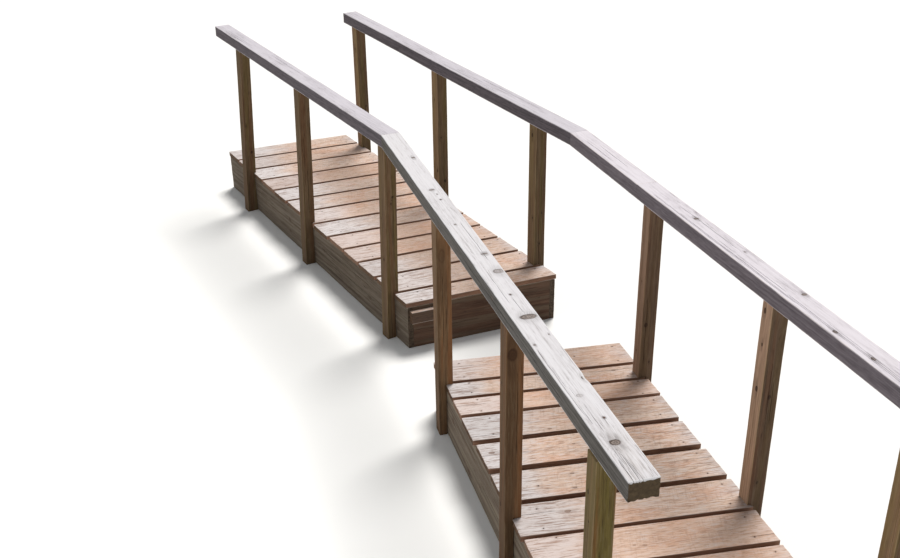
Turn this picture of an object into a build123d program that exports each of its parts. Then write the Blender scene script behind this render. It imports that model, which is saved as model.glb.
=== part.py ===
"""Timber footbridge: two straight deck sections that meet at a bend.

Each section has two stringers on edge, a header across each end and loose-laid deck boards that
run a little askew. Square posts are half-lapped over the deck edge: the inner half stands on the
boards, the outer half runs down beside the stringer to the ground. Flat handrails lie on the posts
and meet end to end, mitred where the bridge bends.

A section is drawn in its own frame: X across from its left edge, Y along from its near end,
Z up from the top of its boards. The near section's frame is the frame of the whole bridge until
the last step, which puts the origin on the ground under the middle.
"""
from build123d import *
from math import atan2, cos, degrees, radians, sin, tan
import os

# Timber sizes
BOARD_THICKNESS = 38.0
STRINGER_THICKNESS = 38.0
STRINGER_DEPTH = 314.0
HEADER_THICKNESS = 38.0
POST_SIZE = 89.0
RAIL_WIDTH = 124.0
RAIL_THICKNESS = 88.0

# Fits and worn arrises
BOARD_OVERHANG = 6.0        # board ends past the outer face of a stringer
SCRIBE = 1.0                # room left where a board is cut round a post leg
SAW_WANDER = 4.0            # how far a board end strays from the deck's edge
BOARD_EASE = 2.5
POST_EASE = 3.0
RAIL_EASE = 4.0
STRINGER_EASE = 3.0

# Near section, from its near end
NEAR_WIDTH = 1175.0
NEAR_SKEW = 5.15            # boards turned from square, right end nearer
NEAR_BOARDS = [237.0, 237.0, 237.0, 237.0, 237.0, 238.0, 238.0, 229.0, 230.0, 161.0, 149.0, 237.0]
NEAR_GAPS = [28.0, 28.0, 28.0, 28.0, 25.0, 36.0, 45.0, 39.0, 28.0, 26.0, 28.0]
NEAR_LEFT_POSTS = [390.0, 1464.0, 2743.0]       # front faces
NEAR_LEFT_LAPS = [45.0, 45.0, 45.0]             # how much of each post stands over the deck
NEAR_RIGHT_POSTS = [164.0, 1236.0, 2489.0]
NEAR_RIGHT_LAPS = [40.0, 25.0, 59.0]

# Far section, placed from the near section's far left corner
FAR_SHIFT = 9.0
FAR_AWAY = 790.0
FAR_TURN = 14.77
FAR_WIDTH = 1110.0
FAR_SKEW = 8.35
FAR_BOARDS = [165.0, 257.0, 247.0, 229.0, 231.0, 247.0, 241.0, 241.0, 241.0, 241.0, 251.0, 252.0, 236.0]
FAR_GAP = 30.0
FAR_LEFT_POSTS = [185.0, 1582.0, 2845.0]
FAR_LEFT_LAPS = [37.0, 26.0, 20.0]
FAR_LEFT_LEANS = [0.022, 0.030, 0.045]          # lean to the right, for each unit of height
FAR_RIGHT_POSTS = [30.0, 1418.0, 2911.0]
FAR_RIGHT_LAPS = [59.0, 54.0, 27.0]

# Handrails: points of the top centre line, out from the deck's edge, along it and above the boards
LEFT_RAIL_START = (-31.0, 143.0, 1192.0)        # near section
LEFT_RAIL_BEND = (13.0, 111.0, 1177.0)          # far section
LEFT_RAIL_FINISH = (-45.0, 3430.0, 1169.0)
RIGHT_RAIL_START = (76.0, -95.0, 1233.0)        # near section
RIGHT_RAIL_SPLICE = (-8.0, 2660.0, 1178.0)
RIGHT_RAIL_BEND = (-38.0, 3637.0, 1160.0)
RIGHT_RAIL_OVER_POST = (-10.0, 1462.0, 1172.0)  # far section
RIGHT_RAIL_BUTT = (9.0, 2056.0, 1180.0)
RIGHT_RAIL_FINISH = (37.0, 3169.0, 1190.0)

# Cleat under the far section's first board, at its left corner
CLEAT_START = 20.0
CLEAT_LENGTH = 200.0
CLEAT_THICKNESS = 38.0
CLEAT_DEPTH = 89.0
CLEAT_DROP = 60.0                               # its top below the top of the boards

BOARD_BOTTOM = -BOARD_THICKNESS
GROUND = BOARD_BOTTOM - STRINGER_DEPTH
UPRIGHT = [0.0, 0.0, 0.0]


def prism(points, top, depth):
    """A plan outline made into a solid that hangs down from the height top."""
    outline = make_face(Polyline(*points, close=True))
    return extrude(Pos(0, 0, top - depth) * outline, depth)


def ease_long_edges(solid, ease):
    """Chamfer the edges that run the length of a timber."""
    longest = max(edge.length for edge in solid.edges())
    return chamfer(solid.edges().filter_by(lambda edge: edge.length > 0.6 * longest), ease)


class Section:
    """One straight length of deck with the posts that stand along it."""

    def __init__(self, name, place, width, skew, boards, gaps, posts, laps, leans):
        self.name = name
        self.place = place
        self.width = width
        self.rise = tan(radians(skew))
        self.stretch = 1 / cos(radians(skew))
        self.boards = boards
        self.gaps = gaps
        self.posts = posts
        self.laps = laps
        self.leans = leans
        self.length = (sum(boards) + sum(gaps)) * self.stretch

    def across(self, x, y):
        """The point at x on the board line that meets the left edge at y."""
        return (x, y - x * self.rise)

    def band(self, left, right, start, finish):
        """Plan corners of a timber between two board lines."""
        return [self.across(left, start), self.across(right, start),
                self.across(right, finish), self.across(left, finish)]

    def edge(self, side, outward):
        """X of a line that lies outward from one edge of the deck."""
        return -outward if side == "left" else self.width + outward

    def post_corner(self, side, number):
        """Near left corner of a post in plan."""
        lap = self.laps[side][number]
        x = lap - POST_SIZE if side == "left" else self.width - lap
        return x, self.posts[side][number]

    def post_middle(self, side, number):
        """Middle of a post in plan."""
        x, y = self.post_corner(side, number)
        return x + POST_SIZE / 2, y + POST_SIZE / 2

    def rail_point(self, side, point):
        """A handrail's point, given out from one edge, along the section and up."""
        spot = self.place * Pos(self.edge(side, point[0]), point[1], point[2])
        return tuple(spot.position)

    def leg_box(self, side, number, room):
        """The space beside the stringer that a post's outer half fills, with room round it."""
        x, y = self.post_corner(side, number)
        face = self.edge(side, -BOARD_OVERHANG)
        low, high = (x, face + room) if side == "left" else (face - room, x + POST_SIZE)
        size = (high - low, POST_SIZE + 2 * room, BOARD_THICKNESS + STRINGER_DEPTH)
        return Pos((low + high) / 2, y + POST_SIZE / 2, -size[2] / 2) * Box(*size)

    def make_boards(self):
        """Deck boards from the near end, cut round the post legs."""
        made = []
        start = 0.0
        for number, wide in enumerate(self.boards):
            finish = start + wide * self.stretch
            left = SAW_WANDER * sin(2.1 * number)
            right = self.width + SAW_WANDER * sin(1.3 * number + 1)
            board = ease_long_edges(prism(self.band(left, right, start, finish), 0, BOARD_THICKNESS), BOARD_EASE)
            for side in ("left", "right"):
                for post in range(len(self.posts[side])):
                    x, y = self.across(*self.post_corner(side, post))
                    low = start - x * self.rise - POST_SIZE
                    if low - 2 * POST_SIZE < self.posts[side][post] < finish - x * self.rise + 2 * POST_SIZE:
                        board -= self.leg_box(side, post, SCRIBE)
            made.append(self.place * board)
            if number < len(self.gaps):
                start = finish + self.gaps[number] * self.stretch
        return made

    def make_stringer(self, side):
        """A stringer on edge under one side, its ends cut along the end boards."""
        outer = self.edge(side, -BOARD_OVERHANG)
        inner = self.edge(side, -BOARD_OVERHANG - STRINGER_THICKNESS)
        plan = self.band(min(inner, outer), max(inner, outer), 0, self.length)
        return self.place * ease_long_edges(prism(plan, BOARD_BOTTOM, STRINGER_DEPTH), STRINGER_EASE)

    def make_header(self, start):
        """A header between the stringers, its near face on the board line at start."""
        left = BOARD_OVERHANG + STRINGER_THICKNESS
        plan = self.band(left, self.width - left, start, start + HEADER_THICKNESS * self.stretch)
        return self.place * prism(plan, BOARD_BOTTOM, STRINGER_DEPTH)

    def make_cleat(self):
        """The short cleat nailed to the near header."""
        front = -CLEAT_THICKNESS * self.stretch
        plan = self.band(CLEAT_START, CLEAT_START + CLEAT_LENGTH, front, 0)
        return self.place * prism(plan, -CLEAT_DROP, CLEAT_DEPTH)

    def make_post(self, side, number, rails):
        """A post, notched over the deck and cut off under the rails that lie on it."""
        x, y = self.post_middle(side, number)
        lean = self.leans[side][number]
        reach = Vector(lean, 0, 1) * (max(rail.start.Z for rail in rails) + RAIL_THICKNESS - GROUND)
        profile = Pos(x + lean * GROUND, y, GROUND) * Rectangle(POST_SIZE, POST_SIZE)
        post = extrude(chamfer(profile.vertices(), POST_EASE), reach.length, dir=reach)
        face = self.edge(side, -BOARD_OVERHANG)
        middle = face + POST_SIZE / 2 if side == "left" else face - POST_SIZE / 2
        post -= Pos(middle, y, GROUND / 2) * Box(POST_SIZE, POST_SIZE, -GROUND)
        post = self.place * post
        for rail in rails:
            post = split(post, rail.underside(), keep=Keep.BOTTOM)
        return post


class Rail:
    """A handrail timber between two points of its top centre line."""

    def __init__(self, start, finish):
        self.start = Vector(*start)
        self.finish = Vector(*finish)
        self.along = (self.finish - self.start).normalized()
        self.side = self.along.cross(Vector(0, 0, 1)).normalized()
        self.up = self.side.cross(self.along)

    def heading(self):
        """Compass angle of the rail, clockwise from +Y, in degrees."""
        return degrees(atan2(self.along.X, self.along.Y))

    def underside(self):
        """The plane that the posts' heads are cut to."""
        return Plane(self.start - self.up * RAIL_THICKNESS, x_dir=self.side, z_dir=self.up)

    def joint(self, point, other):
        """The upright plane that this rail and the next one are both cut to at a point."""
        heading = self.heading() if other is None else (self.heading() + other.heading()) / 2
        ahead = Vector(sin(radians(heading)), cos(radians(heading)), 0)
        return Plane(point, x_dir=ahead.cross(Vector(0, 0, 1)), z_dir=ahead)

    def make(self, before, after):
        """The timber with eased arrises, cut to the rails before and after it."""
        spare = RAIL_WIDTH
        base = Plane(self.start - self.along * spare - self.up * (RAIL_THICKNESS / 2),
                     x_dir=self.side, z_dir=self.along)
        length = (self.finish - self.start).length + 2 * spare
        profile = base * chamfer(Rectangle(RAIL_WIDTH, RAIL_THICKNESS).vertices(), RAIL_EASE)
        timber = extrude(profile, length, dir=self.along)
        timber = split(timber, self.joint(self.start, before), keep=Keep.TOP)
        return split(timber, self.joint(self.finish, after), keep=Keep.BOTTOM)


near = Section("near", Location(), NEAR_WIDTH, NEAR_SKEW, NEAR_BOARDS, NEAR_GAPS,
               {"left": NEAR_LEFT_POSTS, "right": NEAR_RIGHT_POSTS},
               {"left": NEAR_LEFT_LAPS, "right": NEAR_RIGHT_LAPS}, {"left": UPRIGHT, "right": UPRIGHT})
far = Section("far", Location((FAR_SHIFT, near.length + FAR_AWAY, 0), (0, 0, FAR_TURN)),
              FAR_WIDTH, FAR_SKEW, FAR_BOARDS, [FAR_GAP] * (len(FAR_BOARDS) - 1),
              {"left": FAR_LEFT_POSTS, "right": FAR_RIGHT_POSTS},
              {"left": FAR_LEFT_LAPS, "right": FAR_RIGHT_LAPS}, {"left": FAR_LEFT_LEANS, "right": UPRIGHT})

left_start = near.rail_point("left", LEFT_RAIL_START)
left_bend = far.rail_point("left", LEFT_RAIL_BEND)
left_finish = far.rail_point("left", LEFT_RAIL_FINISH)
right_points = [near.rail_point("right", RIGHT_RAIL_START), near.rail_point("right", RIGHT_RAIL_SPLICE),
                near.rail_point("right", RIGHT_RAIL_BEND), far.rail_point("right", RIGHT_RAIL_OVER_POST),
                far.rail_point("right", RIGHT_RAIL_BUTT), far.rail_point("right", RIGHT_RAIL_FINISH)]

left_near_rail = Rail(left_start, left_bend)
left_far_rail = Rail(left_bend, left_finish)
right_rails = [Rail(start, finish) for start, finish in zip(right_points, right_points[1:])]

nodes = {}
for number, board in enumerate(near.make_boards(), start=1):
    nodes[f"near_board_{number:02d}"] = board
nodes["far_boards"] = Compound(children=far.make_boards())
for section in (near, far):
    nodes[f"{section.name}_left_stringer"] = section.make_stringer("left")
    nodes[f"{section.name}_right_stringer"] = section.make_stringer("right")
    nodes[f"{section.name}_front_header"] = section.make_header(0)
    nodes[f"{section.name}_back_header"] = section.make_header(section.length - HEADER_THICKNESS * section.stretch)
nodes["step_cleat"] = far.make_cleat()

nodes["near_left_rail"] = left_near_rail.make(None, left_far_rail)
nodes["far_left_rail"] = left_far_rail.make(left_near_rail, None)
right_names = ["near_right_rail", "middle_right_rail", "far_right_rail_1", "far_right_rail_2", "far_right_rail_3"]
for number, name in enumerate(right_names):
    before = right_rails[number - 1] if number else None
    after = right_rails[number + 1] if number + 1 < len(right_rails) else None
    nodes[name] = right_rails[number].make(before, after)

bearings = {
    ("near", "left"): [[left_near_rail]] * 3,
    ("near", "right"): [[right_rails[0]]] * 3,
    ("far", "left"): [[left_far_rail]] * 3,
    ("far", "right"): [[right_rails[2]], [right_rails[2], right_rails[3]], [right_rails[4]]],
}
for section in (near, far):
    for side in ("left", "right"):
        for number, rails in enumerate(bearings[section.name, side]):
            nodes[f"{section.name}_{side}_post_{number + 1}"] = section.make_post(side, number, rails)

boxes = [node.bounding_box() for node in nodes.values()]
middle_x = (min(box.min.X for box in boxes) + max(box.max.X for box in boxes)) / 2
middle_y = (min(box.min.Y for box in boxes) + max(box.max.Y for box in boxes)) / 2
to_origin = Pos(-middle_x, -middle_y, -GROUND)
os.makedirs("parts", exist_ok=True)
for name, node in nodes.items():
    export_step(to_origin * node, f"parts/{name}.step")
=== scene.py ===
"""Looks of a timber footbridge with two deck sections that meet at a bend.

Every timber is one swept mesh: a rounded rectangle carried along a line between two end planes,
with worn arrises, drying cracks and crumbled ends. Each vertex keeps its place in its own timber,
so that grain, knots and stains follow the wood. Lengths are in metres.
"""
import bpy
import logging
import math
from dataclasses import dataclass, replace
from enum import Enum
from typing import Callable, Optional, Sequence
import numpy as np
from mathutils import Matrix, Vector


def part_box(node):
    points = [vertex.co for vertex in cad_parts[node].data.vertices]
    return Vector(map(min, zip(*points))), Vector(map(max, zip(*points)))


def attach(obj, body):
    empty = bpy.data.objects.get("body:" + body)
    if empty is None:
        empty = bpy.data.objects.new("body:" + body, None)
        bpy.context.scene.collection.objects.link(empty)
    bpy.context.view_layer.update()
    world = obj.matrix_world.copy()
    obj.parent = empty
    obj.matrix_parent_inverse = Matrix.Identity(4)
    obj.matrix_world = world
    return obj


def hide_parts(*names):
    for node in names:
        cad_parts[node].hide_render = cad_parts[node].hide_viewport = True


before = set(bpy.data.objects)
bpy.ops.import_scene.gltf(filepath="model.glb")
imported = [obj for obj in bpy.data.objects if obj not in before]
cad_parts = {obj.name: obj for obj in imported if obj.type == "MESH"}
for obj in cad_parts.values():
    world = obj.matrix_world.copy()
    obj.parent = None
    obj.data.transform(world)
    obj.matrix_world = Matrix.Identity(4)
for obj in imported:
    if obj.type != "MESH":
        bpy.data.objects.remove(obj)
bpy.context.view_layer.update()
log = logging.getLogger("footbridge")

Array = np.ndarray
Colour = tuple[float, float, float]
Triple = tuple[float, float, float]
Surface = dict[str, Array]
Plane = Callable[[Array, Array], Array]
Place = Callable[[Array, Array, Array], Array]

CURVE_CELLS, SHEET_CELLS = 4096, 256
FAR_OFF = 40.0
NO_FACE = -1
END_STEPS = np.array([0.0, 0.0025, 0.006, 0.011])
END_ZONE = 0.018
RIM = 0.0035
CORNER_TURNS = (0.33, 0.67)
END_RINGS = (0.8, 0.5, 0.2)
CRUMBLE_SHARES = (1.0, 0.45, 0.12)
FACING = 0.7
LOWER_CORNERS, LOWER_WEAR = (1, 2), 0.4
CLEARANCE = 0.004
SHOULDER_PAIR = (-0.0004, 0.0001)
LONG_WAVES, SHORT_WAVES = (0.16, 0.05), (0.03, 0.02)
END_ROUGHNESS, END_GRAIN, END_SINK = 0.0012, 0.008, 0.001
MARK_REACH, SHARED_REACH = 12, 0.45
SHARP_ANGLE = math.radians(40)


class Face(Enum):
    """The long faces of a timber, in the order that its outline passes them."""

    TOP = 0
    RIGHT = 1
    BOTTOM = 2
    LEFT = 3


OUTWARD = ((0, 1), (1, 0), (0, -1), (-1, 0))


def smooth(t: Array) -> Array:
    """The smoothstep of shares from 0 to 1."""
    return t * t * (3 - 2 * t)


def wander(x: Array, pitch: float, seed: int) -> Array:
    """Smooth random curve: random values every pitch, joined by smoothstep.

    Args:
        x: places at which the curve is read.
        pitch: distance between the random values.
        seed: picks the curve.

    Returns:
        Values from -1 to 1.
    """
    values = np.random.default_rng(seed).uniform(-1, 1, CURVE_CELLS)
    cell = np.floor(x / pitch).astype(int)
    t = smooth(x / pitch - cell)
    return values[cell % CURVE_CELLS] * (1 - t) + values[(cell + 1) % CURVE_CELLS] * t


def wander_sheet(x: Array, y: Array, pitch_x: float, pitch_y: float, seed: int) -> Array:
    """Smooth random sheet: random values on a grid, joined by smoothstep both ways.

    Args:
        x: first coordinate.
        y: second coordinate, same shape.
        pitch_x: grid step along x.
        pitch_y: grid step along y.
        seed: picks the sheet.

    Returns:
        Values from -1 to 1.
    """
    values = np.random.default_rng(seed).uniform(-1, 1, (SHEET_CELLS, SHEET_CELLS))
    i, j = np.floor(x / pitch_x).astype(int), np.floor(y / pitch_y).astype(int)
    s, t = smooth(x / pitch_x - i), smooth(y / pitch_y - j)
    low, high = (values[i % SHEET_CELLS, row % SHEET_CELLS] * (1 - s)
                 + values[(i + 1) % SHEET_CELLS, row % SHEET_CELLS] * s for row in (j, j + 1))
    return low * (1 - t) + high * t


@dataclass(frozen=True)
class Crack:
    """A drying crack along one face: across is 0 to 1 over the face."""

    face: Face
    across: float
    start: float
    stop: float
    width: float = 0.0022
    depth: float = 0.006


@dataclass(frozen=True)
class Mark:
    """A knot or a nail: its face, its place along and across that face, and its radius.

    Stretch is its length along the timber against its width, and strength is how dark it is, up to 1.
    """

    face: Face
    along: float
    across: float
    radius: float
    stretch: float = 1.0
    strength: float = 1.0


@dataclass(frozen=True)
class Dent:
    """A place where an arris is knocked off: corners count from the top right."""

    corner: int
    along: float
    reach: float
    depth: float


@dataclass(frozen=True)
class Notch:
    """A post's leg below its shoulder: its two sides, of which the deck's is upright for any lean."""

    shoulder: float
    left: float
    right: float
    lean: float


@dataclass
class Outline:
    """A timber's outline: across and up by station and column, and what each column is.

    A column has an outward direction, a face, a share across that face and the number of the crack
    whose bottom it is, or -1.
    """

    y: Array
    z: Array
    push_y: Array
    push_z: Array
    face: Array
    share: Array
    crack: Array


@dataclass
class Timber:
    """A sawn timber in its own coordinates: along, across to the right and up.

    Ease and wear round its arrises, wave and cup bend its faces, and crumble breaks its first and last
    end, as ragged does the underside of the first. Step and spacing are the mesh's, and extra gives it
    columns on the top and bottom. Pith and tilt place the heart of the growth rings. Tone is how
    silvery, how bright and how warm it is, and the face light adds painted light and painted shade to the
    brightness of its top, right, bottom and left face.
    """

    name: str
    length: float
    left: float
    right: float
    bottom: float
    top: float
    seed: int
    pith: tuple[float, float]
    tilt: tuple[float, float]
    tone: Triple
    ease: float
    wear: float
    wave: float
    step: float
    spacing: float
    crumble: tuple[float, float]
    cup: float = 0.0
    ragged: float = 0.0
    cracks: Sequence[Crack] = ()
    knots: Sequence[Mark] = ()
    nails: Sequence[Mark] = ()
    dents: Sequence[Dent] = ()
    start_plane: Optional[Plane] = None
    stop_plane: Optional[Plane] = None
    notch: Optional[Notch] = None
    extra: Sequence[float] = ()
    painted_face_light: tuple[float, float, float, float] = (0.0, 0.0, 0.0, 0.0)

    @property
    def offset(self) -> float:
        """Where this timber starts along the grain pattern."""
        return 1.37 * (self.seed % 97)

    def stations(self) -> Array:
        """Places along the timber, as shares of its length, closer together at its ends.

        Returns:
            Rising values from 0 to 1, with a close pair at the shoulder of a notch.
        """
        middle = np.linspace(END_ZONE, self.length - END_ZONE, max(3, int(self.length / self.step)))
        places = np.concatenate([END_STEPS, middle, self.length - END_STEPS[::-1]])
        if self.notch:
            shoulder = self.notch.shoulder
            places = places[np.abs(places - shoulder) > CLEARANCE]
            places = np.sort(np.append(places, [shoulder + step for step in SHOULDER_PAIR]))
        return places / self.length

    def columns(self) -> list[Array]:
        """The points of the outline, going round from the left end of the top face.

        Returns:
            Face number, share across that face, turn within a corner (0 on a face, up to 1 at the end of
            the corner that follows it) and the number of the crack whose bottom it is, or -1.
        """
        rows = []
        for f, size in enumerate([self.right - self.left, self.top - self.bottom] * 2):
            rim, clear = RIM / size, CLEARANCE / size
            plain = np.linspace(rim, 1 - rim, max(3, int(size / self.spacing)) + 1)
            plain = np.concatenate([[0], plain, [1]])
            taken = [(c.across, k) for k, c in enumerate(self.cracks) if c.face.value == f]
            edges = list(self.extra) if f in (Face.TOP.value, Face.BOTTOM.value) else []
            close = np.array([a for a, _ in taken] + edges)
            if len(close):
                far = np.abs(plain[:, None] - close[None, :]).min(1) > clear
                plain = plain[far | (plain == 0) | (plain == 1)]
            row = [(p, -1) for p in plain] + [(e, -1) for e in edges]
            for across, k in taken:
                half = self.cracks[k].width / size
                row += [(across - half, -1), (across, k), (across + half, -1)]
            rows += [(f, p, 0.0, k) for p, k in sorted(row)] + [(f, 1.0, turn, -1) for turn in CORNER_TURNS]
        return [np.array(column) for column in zip(*rows)]

    def corners(self, along: Array) -> tuple[list[Array], list[tuple[Array, Array]]]:
        """The arcs at the timber's corners, whose radius wanders with wear.

        Args:
            along: places along the timber.

        Returns:
            For each corner from the top right, its radius and its centre across and up, by station.
        """
        one = np.ones_like(along)
        left, right, bottom, top = (one * v for v in (self.left, self.right, self.bottom, self.top))
        if self.notch:
            below = along < self.notch.shoulder
            slide = self.notch.lean * (along - self.notch.shoulder)
            inward = self.notch.left > self.left + 1e-6
            left = np.where(below, self.notch.left - (slide if inward else 0), left)
            right = np.where(below, self.notch.right - (0 if inward else slide), right)
        radius = []
        for c in range(4):
            slow, quick = wander(along, 0.3, self.seed + 11 * c), wander(along, 0.03, self.seed + 5 * c)
            radius.append(self.ease + self.wear * (0.5 + 0.5 * slow) ** 2
                          + self.wear * np.maximum(0, quick - 0.7))
        for c in LOWER_CORNERS:
            radius[c] = self.ease + LOWER_WEAR * (radius[c] - self.ease)
        for dent in self.dents:
            bite = dent.depth * np.exp(-((along - dent.along) / dent.reach) ** 2)
            radius[dent.corner] = radius[dent.corner] + bite
        return radius, [(right - radius[0], top - radius[0]), (right - radius[1], bottom + radius[1]),
                        (left + radius[2], bottom + radius[2]), (left + radius[3], top - radius[3])]

    def outline(self, along: Array) -> Outline:
        """The outline at every station: straight faces between corner arcs.

        Args:
            along: places along the timber.

        Returns:
            The outline, before waves, cracks and breaks.
        """
        face, share, turn, crack = self.columns()
        radius, centre = self.corners(along)
        across, up, push = [], [], []
        for f, s, t in zip(face, share, turn):
            (y0, z0), (y1, z1) = centre[f - 1], centre[f]
            ny, nz = OUTWARD[f]
            if t:
                my, mz = OUTWARD[(f + 1) % 4]
                cosine, sine = math.cos(t * math.pi / 2), math.sin(t * math.pi / 2)
                ny, nz = cosine * ny + sine * my, cosine * nz + sine * mz
            across.append((y0 + ny * radius[f - 1]) * (1 - s) + (y1 + ny * radius[f]) * s)
            up.append((z0 + nz * radius[f - 1]) * (1 - s) + (z1 + nz * radius[f]) * s)
            push.append((ny, nz))
        push_y, push_z = np.array(push, float).T
        return Outline(np.stack(across, 1), np.stack(up, 1), push_y, push_z, face, share, crack)

    def hollows(self, line: Outline, u: Array) -> Array:
        """How deep each point lies under its flat face: long waves, short waves and the cup of the top.

        Args:
            line: the outline.
            u: place along of each point.

        Returns:
            Depths by station and column.
        """
        around = np.arange(1, len(line.face) + 1)[None, :] * 0.01 + 0 * u
        dent = self.wave * (1 + wander_sheet(u, around, *LONG_WAVES, self.seed + 3)) / 2
        short = wander_sheet(u, line.y + 3 * line.z, *SHORT_WAVES, self.seed + 7)
        dent = dent + 0.3 * self.wave * (1 + short)
        if self.cup:
            middle, half = (self.left + self.right) / 2, (self.right - self.left) / 2
            sag = self.cup * (1 - ((line.y - middle) / half) ** 2)
            dent = dent + np.where(line.push_z[None, :] > FACING, sag, 0)
        return dent

    def sink_cracks(self, line: Outline, dent: Array, along: Array) -> Array:
        """Lowers the bottom line of each crack, and lets its three lines wander together.

        Args:
            line: the outline, whose columns are moved.
            dent: depths, which are added to.
            along: places along the timber.

        Returns:
            How far each point is down a crack, from 0 to 1.
        """
        cavity = np.zeros_like(line.y)
        for k, c in enumerate(self.cracks):
            reach = np.clip(np.minimum(along - c.start, c.stop - along) / 0.05 + 0.2, 0, 1)
            reach = reach * (0.72 + 0.28 * wander(along, 0.06, self.seed + 31 * k))
            drift = (0.0016 * wander(along, 0.2, self.seed + 17 * k)
                     + 0.0012 * wander(along, 0.05, self.seed + 19 * k))
            bottom = np.nonzero(line.crack == k)[0][0]
            for j in (bottom - 1, bottom, bottom + 1):
                line.y[:, j] += drift * abs(line.push_z[j])
                line.z[:, j] += drift * abs(line.push_y[j])
            dent[:, bottom] += c.depth * reach
            # How far down the crack, which the finish turns into painted shade.
            cavity[:, bottom] = reach
        return cavity

    def crumble_ends(self, line: Outline, dent: Array) -> None:
        """Adds to the depths of the three stations at each end, most on the top face.

        Args:
            line: the outline.
            dent: depths, which are added to.
        """
        share_of_face = np.where(line.push_z > 0.3, 1.0, 0.3)
        for end, rows in enumerate(((0, 1, 2), (-1, -2, -3))):
            rough = 0.55 + 0.45 * wander(np.arange(len(line.face)) * 1.0, 2.3, self.seed + 91 + end)
            for row, part in zip(rows, CRUMBLE_SHARES):
                dent[row] += self.crumble[end] * part * (0.5 + rough) * share_of_face

    def end_level(self, last: bool, y: Array, z: Array) -> Array:
        """Where the plane of the first or last end crosses the lines at these across and up."""
        plane = self.stop_plane if last else self.start_plane
        return plane(y, z) if plane else 0 * y + (self.length if last else 0)

    def end_points(self, last: bool, y: Array, z: Array) -> Array:
        """The inside of an end face: rings that shrink to a middle point, rough and slightly sunk.

        Args:
            last: whether it is the last end.
            y: across coordinates of its edge.
            z: up coordinates of its edge.

        Returns:
            Along, across and up of the points.
        """
        inward = -1 if last else 1
        cy, cz = y.mean(), (z.max() + z.min()) / 2
        points = []
        for k in END_RINGS:
            ry, rz = cy + (y - cy) * k, cz + (z - cz) * k
            rough = END_ROUGHNESS * (1 + wander_sheet(ry, rz, END_GRAIN, END_GRAIN, self.seed + 2))
            points.append(np.stack([self.end_level(last, ry, rz) + inward * rough, ry, rz], 1))
        middle = self.end_level(last, np.array([cy]), np.array([cz]))[0] + inward * END_SINK
        return np.concatenate(points + [np.array([[middle, cy, cz]])])

    def points(self, line: Outline, shares: Array) -> Array:
        """Every vertex: the swept outline between its end planes, then the insides of both ends.

        Args:
            line: the outline with its waves, cracks and breaks.
            shares: places along, from 0 to 1.

        Returns:
            Along, across and up of the vertices.
        """
        y, z = line.y, line.z
        begin, finish = self.end_level(False, y, z), self.end_level(True, y, z)
        if self.ragged:
            thick = self.top - self.bottom
            low = np.clip((-z - 0.75 * thick) / (0.2 * thick), 0, 1)
            teeth = np.clip(wander(np.arange(len(line.face)) * 1.0, 0.9, self.seed + 5), 0, 1)
            begin = begin + self.ragged * low * teeth[None, :]
        along = begin + (finish - begin) * shares[:, None]
        return np.concatenate([np.stack([along.ravel(), y.ravel(), z.ravel()], 1),
                               self.end_points(False, y[0], z[0]), self.end_points(True, y[-1], z[-1])])

    def surface(self, place: Place) -> Surface:
        """Vertices, faces and attributes of the timber.

        Args:
            place: turns along, across and up into points of the bridge.

        Returns:
            Arrays by name: co, quads, tris, timber, knot, nail, state, tone and end.
        """
        shares = self.stations()
        nominal = shares * self.length
        line = self.outline(nominal)
        n_u, n_c = line.y.shape
        u = np.repeat(nominal[:, None], n_c, 1)
        dent = self.hollows(line, u)
        cavity = self.sink_cracks(line, dent, nominal)
        self.crumble_ends(line, dent)
        line.y, line.z = line.y - line.push_y[None, :] * dent, line.z - line.push_z[None, :] * dent
        at = self.points(line, shares)
        extra = len(at) - n_u * n_c

        def carried(values: Array) -> Array:
            """Values of the swept part, by column or by station and column, with 0 for the ends."""
            return np.concatenate([np.broadcast_to(values, (n_u, n_c)).ravel(), np.zeros(extra)])

        # Arris mask, for wear and a painted highlight, also over the tops of crumbled first ends.
        worn_and_highlight = np.where((line.share > 0.999) | (line.share < 0.001), 1.0, 0.0)
        worn_and_highlight = worn_and_highlight * (0.72 + 0.28 * wander_sheet(u, line.y, 0.09, 0.5, self.seed + 23))
        broken = np.where(line.push_z > FACING, min(1.0, self.crumble[0] * 200), 0)
        worn_and_highlight[:3] = np.maximum(worn_and_highlight[:3], broken[None, :])
        face = np.concatenate([np.tile(line.face, n_u), np.full(extra, NO_FACE)])
        tone = np.repeat(np.array([self.tone]), len(at), 0)
        # Painted light and shade: each face's brightness is raised or lowered by its face setting.
        tone[:, 1] += carried(np.select([line.push_z > FACING, line.push_y > FACING,
                                         line.push_z < -FACING, line.push_y < -FACING], self.painted_face_light, 0.0))
        quads, tris, ends = weave(n_u, n_c)
        x, y, z = at.T
        return {"co": place(x, y, z), "quads": quads, "tris": tris, "end": ends, "tone": tone,
                "timber": np.stack([x + self.offset, y - self.pith[0] + x * self.tilt[0],
                                    z - self.pith[1] + x * self.tilt[1]], 1),
                "knot": nearest_mark(self.knots, face, at), "nail": nearest_mark(self.nails, face, at),
                "state": np.stack([carried(worn_and_highlight), carried(cavity), carried(np.abs(line.push_y))], 1)}


def facing(corners: list[Array], flip: bool) -> Array:
    """Faces with these first, second and later corners, the other way round if flip is set."""
    return np.stack([corners[0]] + corners[:0:-1] if flip else corners, -1)


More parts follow.
